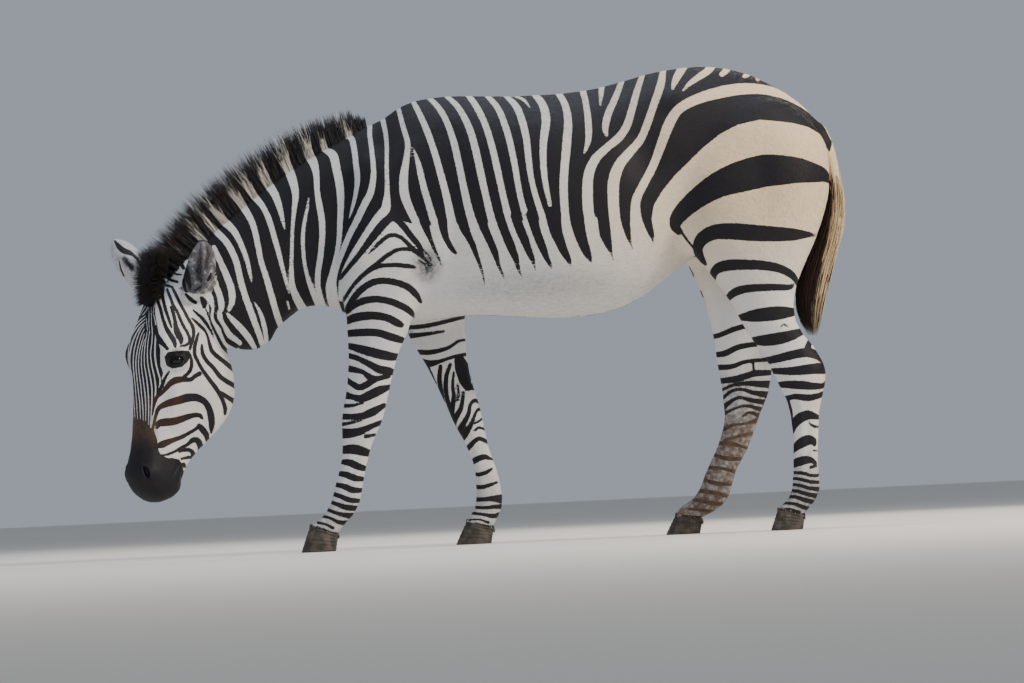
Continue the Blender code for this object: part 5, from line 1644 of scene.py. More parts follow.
    def finish_skin(self, mesh: bpy.types.Mesh, points: Array, finish: Any) -> bpy.types.Object:
        """Triangulates, unwraps, marks and links the skin.

        Args:
            mesh: The shaped mesh.
            points: Its points.
            finish: The coat's material.

        Returns:
            The skin's object.
        """
        mesh.vertices.foreach_set("co", (points + np.array(PLACE)).astype(np.float32).ravel())
        mesh.update()
        bm = bmesh.new()
        bm.from_mesh(mesh)
        bmesh.ops.triangulate(bm, faces=bm.faces)
        bmesh.ops.recalc_face_normals(bm, faces=bm.faces)
        bm.to_mesh(mesh)
        bm.free()
        mesh.polygons.foreach_set("use_smooth", np.ones(len(mesh.polygons), dtype=bool))
        mesh.name = "skin"
        piece = link("skin", mesh)
        self.unwrap(piece)
        placed, self.normals, _ = self.read_mesh(mesh)
        self.points = placed - np.array(PLACE)
        self.ear = self.find_ears(self.points)
        self.triangles = fetch(mesh.loops, "vertex_index", 1, np.int32).reshape(-1, 3)
        self.spots = fetch(mesh.uv_layers["OFBake"].data, "uv", 2).reshape(-1, 3, 2)
        marks = Markings.read(self.points, self.ear)
        marks["grain"] = np.full(len(self.points), 0.5)
        dress(mesh, finish, marks)
        place_piece(piece, self.flesh)
        return piece


# How large a tuft's patch is on the unwrap.
TUFT_SPOT = 0.003


@dataclass(frozen=True)
class Patch:
    """How the coat grows on one part of the animal, with its tufts' sizes in metres.

    Attributes:
        name: The piece's name.
        spacing: Distance between roots.
        length: A tuft's length.
        width: Its width at the root.
        lift: How far its tip stands off the skin.
    """

    name: str
    spacing: float
    length: float
    width: float
    lift: float


@dataclass
class Coat:
    """The short coat: thin overlapping tufts that lie along the body on every side.

    Attributes:
        skin: The skin that it grows on.
        patches: Its pieces.
    """

    skin: Skin
    patches: tuple[Patch, ...] = (
        Patch("coat_trunk_left", 0.0051, 0.0115, 0.0034, 0.0011),
        Patch("coat_trunk_right", 0.0051, 0.0115, 0.0034, 0.0011),
        Patch("coat_neck", 0.0043, 0.0100, 0.0030, 0.0012),
        Patch("coat_legs_fore", 0.0033, 0.0075, 0.0024, 0.0008),
        Patch("coat_legs_hind", 0.0035, 0.0080, 0.0025, 0.0008),
        Patch("coat_head", 0.0033, 0.0060, 0.0020, 0.0006),
        Patch("coat_face", 0.0024, 0.0042, 0.0013, 0.0004),
    )

    @staticmethod
    def parts_of(place: Array) -> Array:
        """Numbers the part of the coat that each place belongs to, in the patches' order."""
        back, side, height = place.T
        part = np.where(side < 0.0, 0, 1)
        part = np.where(back < -0.25, 2, part)
        part = np.where((height < 0.62) & (back < 0.30), 3, part)
        part = np.where((height < 0.66) & (back > 0.44), 4, part)
        head = Markings.is_head(place) | ((back < -0.72) & (height > 0.86))
        part = np.where(head, 5, part)
        return np.where(Skin.detail(place) > 0.75, 6, part)

    @staticmethod
    def lay(place: Array, normals: Array, ear: Array) -> Array:
        """Gives the way that the hair lies at each place.

        Args:
            place: Places in the maker's own frame.
            normals: The skin's outward directions there.
            ear: The ears' marking.

        Returns:
            Unit directions along the skin.
        """
        back, _, height = place.T
        trunk = np.array((1.0, 0.0, -0.28))
        neck = np.array((0.86, 0.0, 0.10))
        leg = np.array((0.10, 0.0, -1.0))
        rump = np.array((0.45, 0.0, -0.85))
        to_leg = ease(height, 0.80, 0.62)[:, None]
        to_neck = ease(back, -0.20, -0.40)[:, None]
        to_rump = (ease(back, 0.62, 0.92) * ease(height, 1.22, 1.08))[:, None]
        way = trunk * (1.0 - to_neck) + neck * to_neck
        way = way * (1.0 - to_rump) + rump * to_rump
        way = way * (1.0 - to_leg) + leg * to_leg
        belly = (height < 0.82) & (back > -0.05) & (back < 0.55)
        way = np.where(belly[:, None], trunk * (1.0, 1.0, 0.4), way)
        head = Markings.is_head(place)[:, None]
        way = np.where(head, FACE_DOWN - FACE_NORMAL * 0.18, way)
        way = np.where((ear > 0.5)[:, None], EARS[0].run, way)
        way = np.where((ear < -0.5)[:, None], EARS[1].run, way)
        return unit(way - normals * (way * normals).sum(axis=1)[:, None])

    @staticmethod
    def lock() -> tuple[Array, Array]:
        """Makes one small tuft, a three-sided spike that lies along +Y.

        Returns:
            Its points, with Y from 0 to 1 and X and Z in half widths, and its triangles.
        """
        bm = bmesh.new()
        bmesh.ops.create_cone(bm, cap_ends=True, segments=3, radius1=1.0, radius2=0.0, depth=1.0)
        bmesh.ops.remove_doubles(bm, verts=bm.verts, dist=1e-4)
        bmesh.ops.triangulate(bm, faces=bm.faces)
        bmesh.ops.recalc_face_normals(bm, faces=bm.faces)
        bm.verts.index_update()
        made = np.array([(-v.co.x, v.co.z + 0.5, v.co.y) for v in bm.verts])
        faces = np.array([[v.index for v in f.verts] for f in bm.faces])
        bm.free()
        return made, faces

    def scatter(self, chosen: Array, spacing: float, rng: Any) -> tuple[Array, Array, Array, Array]:
        """Scatters roots evenly over some of the skin's triangles.

        Args:
            chosen: The triangles.
            spacing: Distance between roots.
            rng: The source of chance.

        Returns:
            The roots, the skin's outward directions, places on the unwrap and the ears' marking.
        """
        skin = self.skin
        corners = skin.points[skin.triangles[chosen]]
        cross = np.cross(corners[:, 1] - corners[:, 0], corners[:, 2] - corners[:, 0])
        total = np.cumsum(np.linalg.norm(cross, axis=1) / 2.0)
        count = int(total[-1] / spacing**2)
        picks = (np.arange(count) + rng.random(count)) / count * total[-1]
        face = chosen[np.minimum(np.searchsorted(total, picks), len(chosen) - 1)]
        first, second = rng.random((2, count))
        over = first + second > 1.0
        first, second = np.where(over, 1.0 - first, first), np.where(over, 1.0 - second, second)
        share = np.stack((1.0 - first - second, first, second), axis=1)[:, :, None]
        root = (skin.points[skin.triangles[face]] * share).sum(axis=1)
        normal = unit((skin.normals[skin.triangles[face]] * share).sum(axis=1))
        ear = skin.ear[skin.triangles[face]]
        ear = np.where((np.abs(ear) > 0.5).all(axis=1), ear.mean(axis=1), 0.0)
        return root, normal, (skin.spots[face] * share).sum(axis=1), ear

    def build(self, finish: bpy.types.Material) -> None:
        """Grows the coat's pieces.

        Args:
            finish: The coat's material.
        """
        parts = self.parts_of(self.skin.points[self.skin.triangles].mean(axis=1))
        shape, shape_faces = self.lock()
        spread = 1.0
        for number, patch in enumerate(self.patches):
            rng = np.random.default_rng(40 + number)
            chosen = np.flatnonzero(parts == number)
            root, normal, spot, ear = self.scatter(chosen, patch.spacing * spread, rng)
            count = len(root)
            way = self.lay(root, normal, ear)
            turn = rng.normal(0.0, 0.16, count)
            side = np.cross(way, normal)
            way = way * np.cos(turn)[:, None] + side * np.sin(turn)[:, None]
            side = np.cross(way, normal)
            size = rng.uniform(0.75, 1.25, count)
            small = np.where(np.abs(ear) > 0.5, 0.8, 1.0)
            small = small * np.where((root[:, 2] < 0.30) & (number in (3, 4)), 0.85, 1.0)
            length = (patch.length * spread * size * small)[:, None, None]
            width = (patch.width * spread * 0.5 * rng.uniform(0.8, 1.2, count) * small)[:, None, None]
            lift = (patch.lift * rng.uniform(0.5, 1.4, count))[:, None, None]
            across, along = shape[None, :, 0:1], shape[None, :, 1:2]
            rise = shape[None, :, 2:3] * width * 0.42 + along * lift - 0.0004
            points = root[:, None, :] + way[:, None, :] * along * length
            points = points + side[:, None, :] * across * width + normal[:, None, :] * rise
            marks = Markings.read(points.reshape(-1, 3), np.repeat(ear, len(shape)))
            stray = rng.normal(0.0, patch.length * 40.0, count)
            marks["tone"] = marks["tone"] + np.repeat(stray, len(shape))
            marks["grain"] = np.repeat(rng.random(count), len(shape))
            # The tufts are lit as the skin is, only a little rounder and tipped along the hair.
            facing = unit(normal[:, None, :] + side[:, None, :] * across * 0.30 + way[:, None, :] * 0.12)
            faces = (shape_faces[None] + np.arange(count)[:, None, None] * len(shape)).reshape(-1, 3)
            spots = spot[:, None, :] + (shape[None, :, 0:2] * (0.5, 1.0) - (0.0, 0.5)) * TUFT_SPOT
            spots = np.clip(spots.reshape(-1, 2), 0.0, 1.0)
            piece = make_piece(
                patch.name, points.reshape(-1, 3), faces, finish, marks, spots, facing.reshape(-1, 3)
            )
            place_piece(piece)


@dataclass
class Locks:
    """A set of long tapering locks, each on its own bent line.

    Attributes:
        root: Where each starts.
        middle: The point that bends it.
        tip: Where it ends.
        width: Its width at the root.
        marks: By attribute name, a number for each lock or one for all of them.
    """

    root: Array
    middle: Array
    tip: Array
    width: Array | float
    marks: dict[str, Array | float]

    @staticmethod
    def lock(parts: int) -> tuple[Array, Array]:
        """Makes one straight three-sided lock.

        Args:
            parts: Its steps from root to tip.

        Returns:
            Its points, with Z from 0 to 1 and X and Y on a unit section, and its triangles.
        """
        bm = bmesh.new()
        bmesh.ops.create_cone(bm, cap_ends=True, segments=3, radius1=1.0, radius2=0.0, depth=1.0)
        bmesh.ops.remove_doubles(bm, verts=bm.verts, dist=1e-4)
        long_edges = [e for e in bm.edges if abs(e.verts[0].co.z - e.verts[1].co.z) > 0.5]
        bmesh.ops.subdivide_edges(bm, edges=long_edges, cuts=parts - 1)
        bmesh.ops.triangulate(bm, faces=bm.faces)
        bmesh.ops.recalc_face_normals(bm, faces=bm.faces)
        bm.verts.index_update()
        made = np.array([tuple(v.co) for v in bm.verts]) + (0.0, 0.0, 0.5)
        faces = np.array([[v.index for v in f.verts] for f in bm.faces])
        bm.free()
        taper = np.maximum(1.0 - made[:, 2:3], 0.02)
        made[:, :2] /= taper
        return made, faces

    def build(self, name: str, finish: Any, parts: int, thin: float = 0.7) -> bpy.types.Object:
        """Makes the set's mesh.

        Args:
            name: The piece's name.
            finish: Its material.
            parts: Steps along a lock.
            thin: Power of the taper; a small one keeps a lock full to near its tip.

        Returns:
            The piece.
        """
        shape, shape_faces = self.lock(parts)
        count = len(self.root)
        along = shape[None, :, 2:3]
        first, second, third = (1.0 - along) ** 2, 2.0 * along * (1.0 - along), along**2
        line = self.root[:, None] * first + self.middle[:, None] * second + self.tip[:, None] * third
        run = unit(self.tip - self.root)
        aside = unit(np.cross(run, np.array((0.31, -0.93, 0.17))))
        other = np.cross(run, aside)
        width = np.broadcast_to(self.width, count)[:, None, None]
        girth = width / 2.0 * np.maximum(1.0 - along, 0.0) ** thin
        section = aside[:, None] * shape[None, :, 0:1] + other[:, None] * shape[None, :, 1:2] * 0.6
        points = line + section * girth
        faces = (shape_faces[None] + np.arange(count)[:, None, None] * len(shape)).reshape(-1, 3)
        cells = math.ceil(math.sqrt(count))
        corner = np.stack((np.arange(count) % cells, np.arange(count) // cells), axis=1)[:, None, :] + 0.2
        flat = np.concatenate((shape[:, 2:3], shape[:, 0:1] * 0.3 + 0.3), axis=1)
        spots = (corner + flat[None] * 0.6) / cells
        marks = {}
        for key, values in self.marks.items():
            marks[key] = np.repeat(np.broadcast_to(values, count), len(shape))
        place = np.tile(shape[:, 2], count)
        tip_tone = marks.pop("tip_tone", marks["tone"])
        tip_umber = marks.pop("tip_umber", marks["umber"])
        blend = ease(place, 0.45, 0.85)
        marks["tone"] = marks["tone"] * (1.0 - blend) + tip_tone * blend
        marks["umber"] = marks["umber"] * (1.0 - blend) + tip_umber * blend
        return make_piece(name, points.reshape(-1, 3), faces, finish, marks, spots.reshape(-1, 2))


@dataclass
class Mane:
    """The standing mane on the crest of the neck, and the forelock between the ears."""

    # Place back, height, lean forward, hair length, half width and place to the side.
    crest: tuple[tuple[float, ...], ...] = (
        (-0.262, 1.205, 0.10, 0.030, 0.016, 0.000),
        (-0.300, 1.194, 0.12, 0.070, 0.024, 0.000),
        (-0.400, 1.148, 0.20, 0.098, 0.028, -0.003),
        (-0.500, 1.092, 0.34, 0.112, 0.030, -0.010),
        (-0.600, 1.026, 0.48, 0.117, 0.031, -0.020),
        (-0.690, 0.956, 0.60, 0.120, 0.032, -0.032),
        (-0.768, 0.884, 0.74, 0.120, 0.034, -0.048),
        (-0.822, 0.826, 0.90, 0.112, 0.036, -0.060),
        (-0.846, 0.794, 1.05, 0.100, 0.030, -0.066),
    )
    locks: int = 7400
    forelock_locks: int = 5000

    def at(self, share: Array) -> Array:
        """Reads the crest at shares of its length from the withers."""
        rows = np.asarray(self.crest)
        steps = np.linalg.norm(np.diff(rows[:, :2], axis=0), axis=1)
        keys = np.concatenate(([0.0], np.cumsum(steps))) / steps.sum()
        return np.stack([np.interp(share, keys, column) for column in rows.T], axis=1)

    def build_mane(self, finish: bpy.types.Material) -> None:
        """Builds the mane: locks in ragged clumps that stand out from the crest."""
        rng = np.random.default_rng(7)
        count = self.locks
        share = np.sort(rng.random(count))
        row = self.at(share)
        across = rng.uniform(-1.0, 1.0, count)
        lean = row[:, 2] + rng.normal(0.0, 0.07, count)
        upward = np.stack((-np.sin(lean), np.zeros(count), np.cos(lean)), axis=1)
        root = np.stack((row[:, 0], row[:, 5] + across * row[:, 4] * 0.85, row[:, 1]), axis=1)
        root = root - upward * (0.006 + 0.016 * across**2)[:, None]
        clump = np.sin(share * 260.0 + 1.3 * np.sin(share * 61.0)) * 0.5 + 0.5
        height = row[:, 3] * (0.66 + 0.34 * clump**0.8 - 0.20 * across**2) * rng.uniform(0.80, 1.04, count)
        inward = np.stack((np.zeros(count), -across * row[:, 4] * 0.45, np.zeros(count)), axis=1)
        middle = root + upward * (height * 0.5)[:, None] + inward * 0.3
        bend = (-0.010 * rng.random(count), rng.normal(0.0, 0.004, count), np.zeros(count))
        tip = root + upward * (height + 0.010)[:, None] + inward + np.stack(bend, axis=1)
        base = root + upward * 0.010
        spots = np.stack((base[:, 0], base[:, 2]), axis=1) * 100.0
        tone = Markings.on_body(spots) * 10.0
        tone = np.where(root[:, 2] < 0.845, -6.0, tone)
        front = ease(root[:, 0], -0.40, -0.80)
        dark_tip = rng.random(count) < 0.68 + 0.25 * front
        marks = {
            "tone": tone,
            "tip_tone": np.where(dark_tip, -6.0, tone * 0.6 - 1.0 * front),
            "warm": 0.10,
            "umber": 0.05 + 0.10 * front,
            "tip_umber": 0.10 + 0.75 * front,
            "grain": rng.random(count),
        }
        width = rng.uniform(0.0016, 0.0030, count)
        piece = Locks(root, middle, tip, width, marks).build("mane_hair", finish, 4, 0.62)
        place_piece(piece, ("mane",))

    def build_forelock(self, finish: bpy.types.Material) -> None:
        """Builds the forelock: a bush of dark brown hair that stands up and forward."""
        rng = np.random.default_rng(8)
        count = self.forelock_locks
        down = rng.uniform(-0.245, -0.148, count)
        aim = ease(down, -0.150, -0.245)
        left = np.clip(rng.normal(0.0, 1.0, count), -2.0, 2.0) * (0.018 + 0.008 * aim)
        root = BROW + down[:, None] * FACE_DOWN - 0.044 * FACE_NORMAL + left[:, None] * FACE_LEFT
        way = FACE_NORMAL * (0.80 - 0.30 * aim)[:, None] - FACE_DOWN * (1.05 * aim - 0.25)[:, None]
        way = way + FACE_LEFT * (left * 8.0 + rng.normal(0.0, 0.10, count))[:, None]
        way = unit(way + rng.normal(0.0, 0.09, (count, 3)))
        height = rng.uniform(0.050, 0.068, count) * (0.80 + 0.35 * aim)
        middle = root + way * (height * 0.55)[:, None]
        tip = root + way * height[:, None] + FACE_DOWN * 0.012
        marks = {
            "tone": -6.0,
            "warm": 0.0,
            "umber": rng.uniform(0.0, 0.3, count),
            "tip_umber": rng.uniform(0.1, 0.7, count),
            "grain": rng.random(count),
        }
        width = rng.uniform(0.0011, 0.0021, count)
        piece = Locks(root, middle, tip, width, marks).build("forelock_hair", finish, 4, 0.62)
        place_piece(piece, ("forelock",))


@dataclass
class Tail:
    """The hanging tail hair: dark inside, with a paler, drier cover."""

    # Place back, height, half depth and half width.
    line: tuple[tuple[float, ...], ...] = (
        (1.052, 1.080, 0.023, 0.026),
        (1.065, 1.010, 0.022, 0.024),
        (1.068, 0.940, 0.024, 0.024),
        (1.060, 0.870, 0.029, 0.027),
        (1.028, 0.790, 0.038, 0.032),
        (0.993, 0.710, 0.045, 0.036),
        (0.977, 0.640, 0.041, 0.032),
        (0.977, 0.580, 0.029, 0.022),
        (0.986, 0.538, 0.012, 0.011),
    )
    locks: int = 4200

    def at(self, height: Array) -> Array:
        """Reads the tail's line at heights."""
        rows = np.asarray(self.line)[::-1]
        return np.stack([np.interp(height, rows[:, 1], column) for column in rows.T], axis=1)

    def build(self, finish: bpy.types.Material) -> None:
        """Builds the hair as locks that start all the way down the dock."""
        rng = np.random.default_rng(9)
        count = self.locks
        start = 1.07 - 0.30 * rng.random(count) ** 0.8
        reach = rng.uniform(0.16, 0.30, count)
        stop = np.maximum(start - reach, 0.545)
        stop = np.where(start < 0.90, rng.uniform(0.545, 0.66, count), stop)
        angle = rng.uniform(0.0, math.tau, count)
        depth = np.sqrt(rng.random(count))
        ends = []
        for share in (0.0, 0.5, 1.0):
            back, height, half_depth, half_width = self.at(start + (stop - start) * share).T
            wide = depth * (0.45, 1.02, 0.80)[int(share * 2)]
            back = back + np.cos(angle) * wide * half_depth
            ends.append(np.stack((back, np.sin(angle) * wide * half_width, height), axis=1))
        ends[1] = ends[1] * 2.0 - (ends[0] + ends[2]) / 2.0
        ends[1] = ends[1] + rng.normal(0.0, 0.003, (count, 3))
        outer = (depth > 0.45) & (rng.random(count) < 0.72)
        back = outer & (np.cos(angle) > 0.05 + 0.3 * rng.random(count))
        high = (start > 0.93) & (rng.random(count) < 0.8) & (np.cos(angle) > -0.4)
        pale = back | high
        tone = np.where(pale, 6.0, -6.0)
        marks = {
            "tone": tone,
            "tip_tone": np.where(pale & (stop < 0.80) & (rng.random(count) < 0.35), -1.0, tone),
            "warm": 0.85,
            "umber": rng.uniform(0.35, 1.0, count),
            "grain": rng.random(count),
        }
        width = rng.uniform(0.0019, 0.0036, count)
        piece = Locks(ends[0], ends[1], ends[2], width, marks).build("tail_hair", finish, 6, 0.5)
        place_piece(piece, ("tail_switch",))


@dataclass
class FineHair:
    """Ear linings, eyelashes and whiskers."""

    skin: Skin

    def build_ear_lining(self, finish: bpy.types.Material) -> None:
        """Builds the pale hair that fringes each ear's opening."""
        rng = np.random.default_rng(11)
        roots, tips = [], []
        for axis in EARS:
            root, run, out, length = axis.root, axis.run, axis.out, axis.length
            across = np.cross(run, out)
            share = rng.uniform(0.22, 0.86, 260)
            side = rng.choice((-1.0, 1.0), 260)
            wide = 0.026 * np.sin(math.pi * np.clip(share, 0.0, 0.96)) ** 0.6
            base = root + run * (share * length)[:, None] + across * (side * wide)[:, None] - out * 0.004
            lean = run * 0.55 - across * (side * rng.uniform(0.4, 1.0, 260))[:, None] + out * 0.25
            roots.append(base)
            tips.append(base + lean * rng.uniform(0.014, 0.024, 260)[:, None])
        root, tip = np.concatenate(roots), np.concatenate(tips)
        marks = {"tone": 6.0, "warm": 0.15, "umber": 0.0, "grain": rng.random(len(root))}
        piece = Locks(root, (root + tip) / 2, tip, 0.0018, marks).build("ear_lining", finish, 2)
        place_piece(piece)

    def build_coronets(self, finish: bpy.types.Material) -> None:
        """Builds the short hair that hangs over the top of each hoof."""
        rng = np.random.default_rng(13)
        roots, ways = [], []
        for hoof in HOOVES:
            place, facing = hoof.crown(rng.uniform(0.0, math.tau, 900))
            high = rng.uniform(-0.003, 0.008, 900)[:, None]
            roots.append(place - facing * 0.0045 + UP * high)
            ways.append(facing * 0.20 - UP + rng.normal(0.0, 0.08, (900, 3)))
        root, way = np.concatenate(roots), np.concatenate(ways)
        tip = root + way * rng.uniform(0.006, 0.012, len(root))[:, None]
        marks = Markings.read(root + UP * 0.010, np.zeros(len(root)))
        marks["tone"] = np.minimum(marks["tone"], rng.normal(-1.2, 1.2, len(root)))
        marks["grain"] = rng.random(len(root))
        width = rng.uniform(0.0010, 0.0020, len(root))
        piece = Locks(root, (root + tip) / 2, tip, width, marks).build("coronet_hair", finish, 2)
        place_piece(piece)

    def build_lashes(self, finish: bpy.types.Material) -> None:
        """Builds the upper eyelashes and the whiskers of lips and chin."""
        rng = np.random.default_rng(12)
        roots, tips, widths = [], [], []
        half_length, half_height = self.skin.opening
        for sign in (1.0, -1.0):
            middle, along, upward, outward = self.skin.eye_frame(sign)
            across = rng.uniform(-0.8, 0.8, 60) * half_length
            up = half_height * 0.95 * np.maximum(1.0 - (across / half_length) ** 2, 0.0) ** 0.75
            lift = np.sqrt((EYE_RADIUS + 0.0026) ** 2 - across**2 - up**2)
            base = middle + across[:, None] * along + up[:, None] * upward + lift[:, None] * outward
            lean = outward * 0.85 - upward * rng.uniform(0.15, 0.55, 60)[:, None]
            lean = lean + along * (across * 14.0)[:, None]
            roots.append(base)
            tips.append(base + lean * rng.uniform(0.008, 0.012, 60)[:, None])
            widths.append(np.full(60, 0.0010))
            down, out = rng.uniform(0.330, 0.400, 26), rng.uniform(-0.115, -0.055, 26)
            left = rng.uniform(0.034, 0.046, 26) * sign
            lip = BROW + down[:, None] * FACE_DOWN + out[:, None] * FACE_NORMAL + left[:, None] * FACE_LEFT
            push = FACE_LEFT * sign * 0.8 + FACE_DOWN * 0.4 + rng.normal(0.0, 0.2, (26, 3))
            roots.append(lip)
            tips.append(lip + push * rng.uniform(0.022, 0.034, 26)[:, None])
            widths.append(np.full(26, 0.0007))
        root, tip = np.concatenate(roots), np.concatenate(tips)
        marks = {"tone": -6.0, "warm": 0.0, "umber": 0.1, "grain": rng.random(len(root))}
        locks = Locks(root, (root + tip) / 2, tip, np.concatenate(widths), marks)
        place_piece(locks.build("lashes_and_whiskers", finish, 3))


@dataclass(frozen=True)
class Hoof:
    """One hoof: a slanting wall with growth ridges, from the coronet to a flat sole.

    Attributes:
        name: Which leg it is on.
        crown_toe: The coronet's front, back from the origin.
        crown_toe_z: Its height there.
        crown_heel: The coronet's back.
        crown_heel_z: Its height there.
        toe: The sole's front.
        heel: The sole's back.
        side: The hoof's middle, to the right.
        sides: Points round a ring.
        levels: Rings from coronet to sole.
    """

    name: str
    crown_toe: float
    crown_toe_z: float
    crown_heel: float
    crown_heel_z: float
    toe: float
    heel: float
    side: float
    sides: int = 48
    levels: int = 26

    def build(self, finish: bpy.types.Material) -> None:
        """Builds the hoof.

        Args:
            finish: The horn's material.
        """
        bm = bmesh.new()
        rings = []
        for level in range(self.levels + 1):
            share = level / self.levels
            ring = bmesh.ops.create_circle(bm, cap_ends=False, segments=self.sides, radius=1.0)["verts"]
            crown_toe = self.crown_toe + 0.005
            crown_heel = self.crown_heel - 0.004
            toe = crown_toe + (self.toe - crown_toe) * share**0.9
            heel = crown_heel + (self.heel - crown_heel) * share
            half_width = 0.0335 + 0.0140 * share
            ridge = 0.0006 * math.sin(share * 34.0) * (1.0 - share**3)
            bulge = 0.0012 * math.exp(-(((share - 0.02) / 0.07) ** 2))
            if level == self.levels:
                ridge -= 0.0015
            for vert in ring:
                across = math.copysign(abs(vert.co.y) ** 0.85, vert.co.y)
                along = math.copysign(abs(vert.co.x) ** 0.85, vert.co.x)
                place = (1.0 - along) / 2.0
                cleft = 0.004 * math.exp(-((across / 0.16) ** 2)) * max(0.0, -along) ** 4
                drop = (self.crown_toe_z + (self.crown_heel_z - self.crown_toe_z) * place) * (1.0 - share)
                grow = 1.0 + (ridge + bulge) / half_width
                middle = (toe + heel) / 2.0
                back = middle + (toe + (heel - toe) * place - cleft - middle) * grow
                side = self.side + across * half_width * (1.0 - 0.16 * place) * grow
                vert.co = Vector((back, side, drop))
            rings.append(list({e for v in ring for e in v.link_edges}))
        for upper, lower in zip(rings, rings[1:]):
            bmesh.ops.bridge_loops(bm, edges=upper + lower)
        for ring, inset in ((rings[0], 0.010), (rings[-1], 0.007)):
            made = bmesh.ops.contextual_create(bm, geom=ring)["faces"]
            bmesh.ops.inset_individual(bm, faces=made, thickness=inset, depth=0.0)
        bmesh.ops.triangulate(bm, faces=[f for f in bm.faces if len(f.verts) > 4])
        bmesh.ops.recalc_face_normals(bm, faces=bm.faces)
        bmesh.ops.translate(bm, verts=bm.verts, vec=PLACE)
        mesh = bpy.data.meshes.new(f"{self.name}_horn")
        bm.to_mesh(mesh)
        bm.free()
        for polygon in mesh.polygons:
            polygon.use_smooth = abs(polygon.normal.z) < 0.8
        dress(mesh, finish, {})
        place_piece(link(mesh.name, mesh), (self.name,))

    def crown(self, angle: Array) -> tuple[Array, Array]:
        """Gives places round the coronet.

        Args:
            angle: Angles round the hoof from its toe, in radians.

        Returns:
            The places, and the ways that they face.
        """
        along, across = np.cos(angle), np.sin(angle)
        share = (1.0 - along) / 2.0
        back = self.crown_toe + (self.crown_heel - self.crown_toe) * share
        height = self.crown_toe_z + (self.crown_heel_z - self.crown_toe_z) * share
        place = np.stack((back, self.side + across * 0.034, height), axis=1)
        return place, np.stack((-along, across, np.zeros(len(angle))), axis=1)


HOOVES = (
    Hoof("hoof_fore_left", -0.476, 0.074, -0.388, 0.046, -0.500, -0.400, -0.116),
    Hoof("hoof_fore_right", -0.034, 0.066, 0.052, 0.042, -0.064, 0.040, 0.116),
    Hoof("hoof_hind_left", 0.850, 0.058, 0.934, 0.038, 0.832, 0.924, -0.120),
    Hoof("hoof_hind_right", 0.567, 0.056, 0.652, 0.036, 0.540, 0.640, 0.120),
)


@dataclass(frozen=True)
class Eye:
    """An eyeball with its bulging cornea.

    Attributes:
        name: The solid that it stands for.
        sign: 1 on the left, -1 on the right.
        iris: The iris's angle from the axis, in radians.
    """

    name: str
    sign: float
    iris: float = 0.78

    def build(self, skin: Skin, finish: bpy.types.Material) -> None:
        """Builds the eye where the skin's lids are.

        Args:
            skin: The skin.
            finish: The eye's material.
        """
        middle, along, upward, outward = skin.eye_frame(self.sign)
        bm = bmesh.new()
        bmesh.ops.create_uvsphere(bm, u_segments=48, v_segments=32, radius=1.0)
        turn = Matrix((Vector(along), Vector(upward), Vector(outward))).transposed()
        rings, slits = [], []
        for vert in bm.verts:
            angle = math.acos(max(-1.0, min(1.0, vert.co.z)))
            rings.append(angle / self.iris)
            slits.append(math.hypot(vert.co.x / 0.50, vert.co.y / 0.26) if vert.co.z > 0.0 else 9.0)
            bulge = 1.0 + 0.055 * math.exp(-((angle / 0.62) ** 2))
            vert.co = turn @ (vert.co * (EYE_RADIUS * 0.985 * bulge)) + Vector(middle) + PLACE
        bmesh.ops.recalc_face_normals(bm, faces=bm.faces)
        mesh = bpy.data.meshes.new(f"{self.name}_ball")
        bm.to_mesh(mesh)
        bm.free()
        mesh.polygons.foreach_set("use_smooth", [True] * len(mesh.polygons))
        dress(mesh, finish, {"iris": rings, "pupil": slits})
        place_piece(link(mesh.name, mesh), (self.name,))


class Tint(Enum):
    """The colours of the stage and its light."""

    FLOOR = "#d9d6cf"
    WARM = "#fff1dc"
    COOL = "#dfe8f6"
    SKY = "#d3dcea"


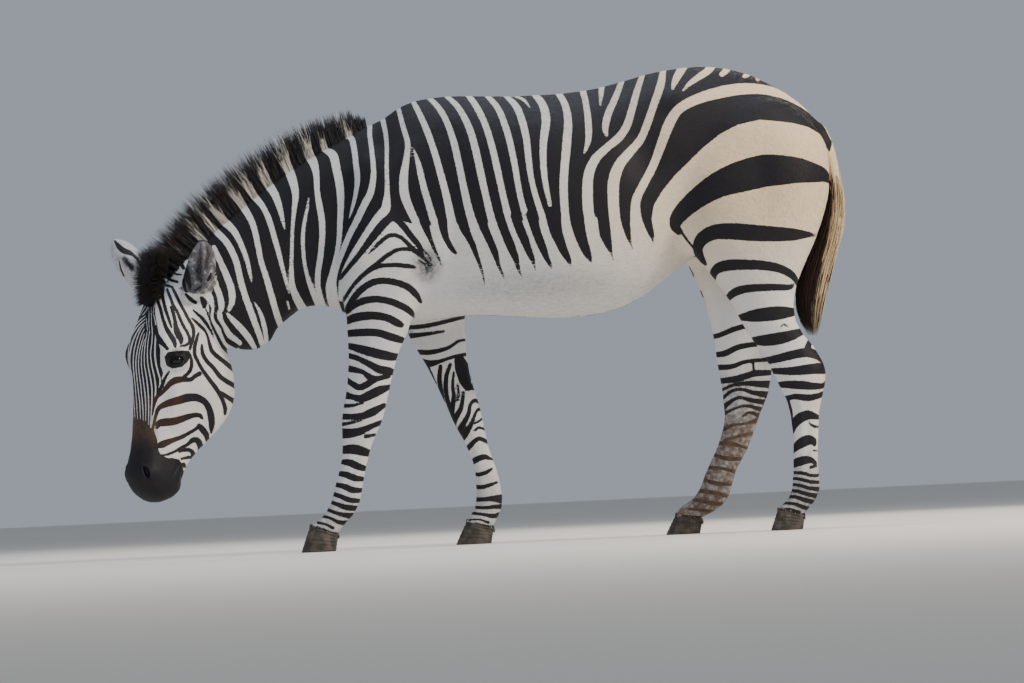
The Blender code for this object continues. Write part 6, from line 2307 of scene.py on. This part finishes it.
@dataclass
class Studio:
    """The camera, a pale floor and soft light."""

    distance: float = 16.0
    focal_mm: float = 196.875
    camera_height: float = 0.12
    roll: float = math.radians(2.70)
    aim: Station = (0.1243, 0.0, 0.5736)

    def place_camera(self) -> None:
        """Sets the camera low, far off and square to the animal's left side."""
        pitch = math.asin((self.aim[2] - self.camera_height) / self.distance)
        ahead = Vector((0.0, math.cos(pitch), math.sin(pitch)))
        level = Vector((1.0, 0.0, 0.0))
        upright = Vector((0.0, -math.sin(pitch), math.cos(pitch)))
        right = level * math.cos(self.roll) - upright * math.sin(self.roll)
        top = level * math.sin(self.roll) + upright * math.cos(self.roll)
        data = bpy.data.cameras.new("camera")
        data.lens = self.focal_mm
        data.sensor_width = 36.0
        data.clip_end = 500.0
        camera = link("camera", data)
        turn = Matrix((right, top, -ahead)).transposed().to_4x4()
        camera.matrix_world = Matrix.Translation(Vector(self.aim) + PLACE - ahead * self.distance) @ turn
        bpy.context.scene.camera = camera

    def lay_floor(self) -> None:
        """Lays a wide matt floor."""
        bm = bmesh.new()
        bmesh.ops.create_circle(bm, cap_ends=True, segments=96, radius=160.0)
        mesh = bpy.data.meshes.new("floor")
        bm.to_mesh(mesh)
        bm.free()
        sockets = {"Base Color": linear(Tint.FLOOR.value), "Roughness": 0.9, "Specular IOR Level": 0.1}
        dress(mesh, new_material("matt_floor_paint", sockets)[0], {})
        link("floor", mesh)

    def hang_lights(self) -> None:
        """Hangs a broad warm key, a cool fill and a soft top light, under a pale sky."""
        for name, place, size, power, tint in (
            ("key", (6.2, -3.4, 5.2), 2.4, 700.0, Tint.WARM),
            ("fill", (-5.0, -6.4, 2.6), 4.5, 90.0, Tint.COOL),
            ("top", (0.0, 0.6, 6.5), 4.0, 230.0, Tint.COOL),
            ("back", (2.5, 5.5, 4.5), 3.5, 220.0, Tint.WARM),
        ):
            data = bpy.data.lights.new(name, "AREA")
            data.shape = "DISK"
            data.size = size
            data.energy = power
            data.color = linear(tint.value)[:3]
            aim = Vector((0.1, 0.0, 0.7)) - Vector(place)
            turn = aim.to_track_quat("-Z", "Y").to_matrix().to_4x4()
            link(name, data).matrix_world = Matrix.Translation(Vector(place)) @ turn
        world = bpy.data.worlds.new("sky")
        world.use_nodes = True
        background = world.node_tree.nodes["Background"]
        background.inputs["Color"].default_value = linear(Tint.SKY.value)
        background.inputs["Strength"].default_value = 0.50
        bpy.context.scene.world = world

    def build(self) -> None:
        """Builds the studio."""
        self.place_camera()
        self.lay_floor()
        self.hang_lights()


def main() -> None:
    """Builds the studio, then the animal from the skin outwards."""
    logging.basicConfig(level=logging.INFO, format="%(name)s %(relativeCreated)d ms: %(message)s")
    Studio().build()
    coat = CoatFinish().make()
    long_hair = LongHairFinish().make()
    skin = Skin()
    skin.build(coat)
    Coat(skin).build(coat)
    mane = Mane()
    mane.build_mane(long_hair)
    mane.build_forelock(long_hair)
    Tail().build(long_hair)
    fine = FineHair(skin)
    fine.build_ear_lining(long_hair)
    fine.build_coronets(coat)
    fine.build_lashes(long_hair)
    horn = HornFinish().make()
    for hoof in HOOVES:
        hoof.build(horn)
    wet = EyeFinish().make()
    for eye in (Eye("eye_left", 1.0), Eye("eye_right", -1.0)):
        eye.build(skin, wet)


if __name__ == "__main__":
    main()
